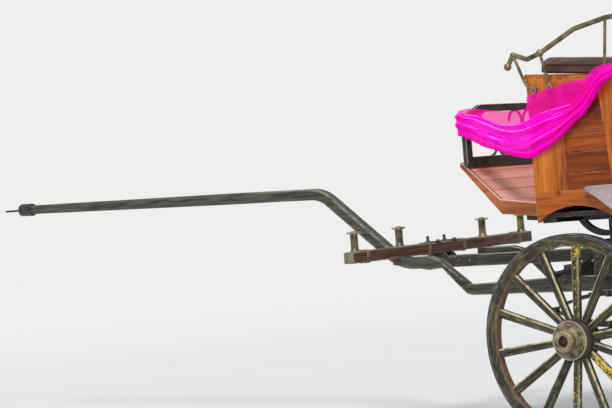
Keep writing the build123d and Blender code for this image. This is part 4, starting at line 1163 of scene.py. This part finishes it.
# columns: x, height
TOE_EDGE = ((0.700, 1.310), (0.490, 1.119), (0.290, 1.093))
REAR_WING_SIDES = (0.600, 0.780)
REAR_WING_GAP = 0.0466


def edge_trim():
    """Thin pale lines on the dash's arrises that serve as painted highlights, the toe rails' pale edge and
    the wings' rolled rims.
    """
    lines = []
    bands = []
    beads = []
    reach = REAR_RADIUS + REAR_WING_GAP
    arc = [math.radians(15 + 135 * k / 40) for k in range(41)]
    rear_rim = [(-WHEELBASE - reach * math.cos(turn), REAR_RADIUS + reach * math.sin(turn)) for turn in arc]
    for side in (1, -1):
        for route in DASH_LINES:
            lines.append([(x, side * y, z) for x, y, z in route])
        bands.append([(x, side * 0.4975, z) for x, z in TOE_EDGE])
        beads.append([(x, side * y, z) for x, y, z in FRONT_WING_RIM])
        for y in REAR_WING_SIDES:
            beads.append([(x, side * y, z) for x, z in rear_rim])
    # Painted highlights along the dash's edges.
    tubes("dash_lines", lines, 0.0014, 6, "lining", "body")
    tubes("toe_edges", bands, 0.0028, 8, "toe_edge", "body")
    tubes("wing_rims", beads, 0.0042, 8, "wing_paint", "body")


# columns: x, y, height
HANDLE = ((-1.300, 0.503, 1.120), (-1.300, 0.526, 1.120), (-1.293, 0.532, 1.120), (-1.255, 0.533, 1.118),
          (-1.215, 0.529, 1.112))
HINGES = (0.800, 1.150)


def door_trim():
    """Handles and hinge screws, and ribs on the steps."""
    screw = dome(0.0035, 0.0016, 2)
    for name, side in (("left_door", 1), ("right_door", -1)):
        out = OUT * side
        turned_set(name + "_rose", [(at(-1.300, side * 0.500, 1.120), out)], dome(0.022, 0.005), 24,
                   "brass", name)
        tubes(name + "_handle", [[(x, side * y, z) for x, y, z in HANDLE]], 0.0065, 12,
              "brass", name)
        screws = [(at(-0.899, side * 0.505, z + dz), out) for z in HINGES for dz in (-0.007, 0.007)]
        turned_set(name + "_screws", screws, screw, 8, "bolt_iron", name)
    outward_bolts("post_screws", [(-0.847, 0.505, z + dz) for z in HINGES for dz in (-0.030, 0.030)],
                  screw, 8, "bolt_iron", "body")
    ribs = [[(-1.265, side * (0.580 + 0.024 * k), 0.426), (-0.945, side * (0.580 + 0.024 * k), 0.426)]
            for side in (1, -1) for k in range(7)]
    tubes("step_ribs", ribs, 0.0035, 8, "black_iron", "body")


# Floor and light
FLOOR_RADIUS = 14
FLOOR_FADE = (4.5, 13.0)
FLOOR_DROP = 0.001


def make_floor():
    work = bmesh.new()
    bmesh.ops.create_circle(work, cap_ends=True, radius=FLOOR_RADIUS, segments=96)
    mesh = bpy.data.meshes.new("floor")
    work.to_mesh(mesh)
    work.free()
    tree = Tree("floor_paper")
    soft = tree.noise(tree.place, 0.8, 2)
    colour = tree.mix(soft, (0.80, 0.80, 0.79), (0.83, 0.83, 0.82))
    reach = tree.add("ShaderNodeVectorMath", {0: tree.place}, operation="LENGTH").outputs["Value"]
    tree.put(tree.shader.inputs["Alpha"], tree.band(reach, FLOOR_FADE[1], FLOOR_FADE[0]))
    material = tree.finish(colour, 0.9)
    mesh.materials.append(material)
    floor = put_in_scene("floor", mesh)
    floor.location.z = -FLOOR_DROP


SKY_STRENGTH = 0.62
SUN_STRENGTH = 1.6
SUN_WIDTH = math.radians(14)
SUN_WAY = Vector((0.35, -0.62, -0.9))


def make_light():
    world = bpy.data.worlds.new("studio")
    bpy.context.scene.world = world
    world.use_nodes = True
    nodes = world.node_tree.nodes
    links = world.node_tree.links
    light = nodes["Background"]
    light.inputs["Color"].default_value = (0.95, 0.97, 1.0, 1)
    light.inputs["Strength"].default_value = SKY_STRENGTH
    seen = nodes.new("ShaderNodeBackground")
    seen.inputs["Color"].default_value = (0.86, 0.86, 0.855, 1)
    seen.inputs["Strength"].default_value = 1.0
    path = nodes.new("ShaderNodeLightPath")
    either = nodes.new("ShaderNodeMath")
    either.operation = "MAXIMUM"
    links.new(path.outputs["Is Camera Ray"], either.inputs[0])
    links.new(path.outputs["Is Transmission Ray"], either.inputs[1])
    both = nodes.new("ShaderNodeMixShader")
    links.new(either.outputs[0], both.inputs[0])
    links.new(light.outputs[0], both.inputs[1])
    links.new(seen.outputs[0], both.inputs[2])
    links.new(both.outputs[0], nodes["World Output"].inputs["Surface"])
    lamp = bpy.data.lights.new("soft_sun", "SUN")
    lamp.energy = SUN_STRENGTH
    lamp.angle = SUN_WIDTH
    sun = put_in_scene("soft_sun", lamp)
    sun.rotation_euler = SUN_WAY.to_track_quat("-Z", "Y").to_euler()


def make_cushions():
    """Seat cushions and tufted backrests."""
    seat_slope = (1.665 - 1.605) / 0.580
    # columns: name, CAD node, rows and columns of tufts, the way its face looks, slope
    table = (
        ("driver_cushion_pad", "driver_cushion", (2, 5), UP, seat_slope),
        ("front_seat_pad", "front_passenger_cushion", (2, 5), UP, 0.0),
        ("rear_seat_pad", "rear_passenger_cushion", (2, 5), UP, 0.0),
        ("front_back_pad", "front_passenger_backrest", (3, 6), -FORWARD, 0.0),
        ("rear_back_pad", "rear_passenger_backrest", (3, 6), FORWARD, 0.0),
    )
    for name, node, tufts, normal, slope in table:
        piece, places = pad(name, node, tufts, normal, slope)
        pad_buttons(name + "_buttons", piece, places, normal)
        pad_piping(name + "_welt", piece, normal, slope)


make_camera()
make_floor()
make_light()
dress_nodes()
dress_wheels()
bar_trim()
carriage_bolts()
edge_trim()
door_trim()
make_cushions()
hang_cloth()

bpy.context.scene.view_settings.view_transform = "Standard"
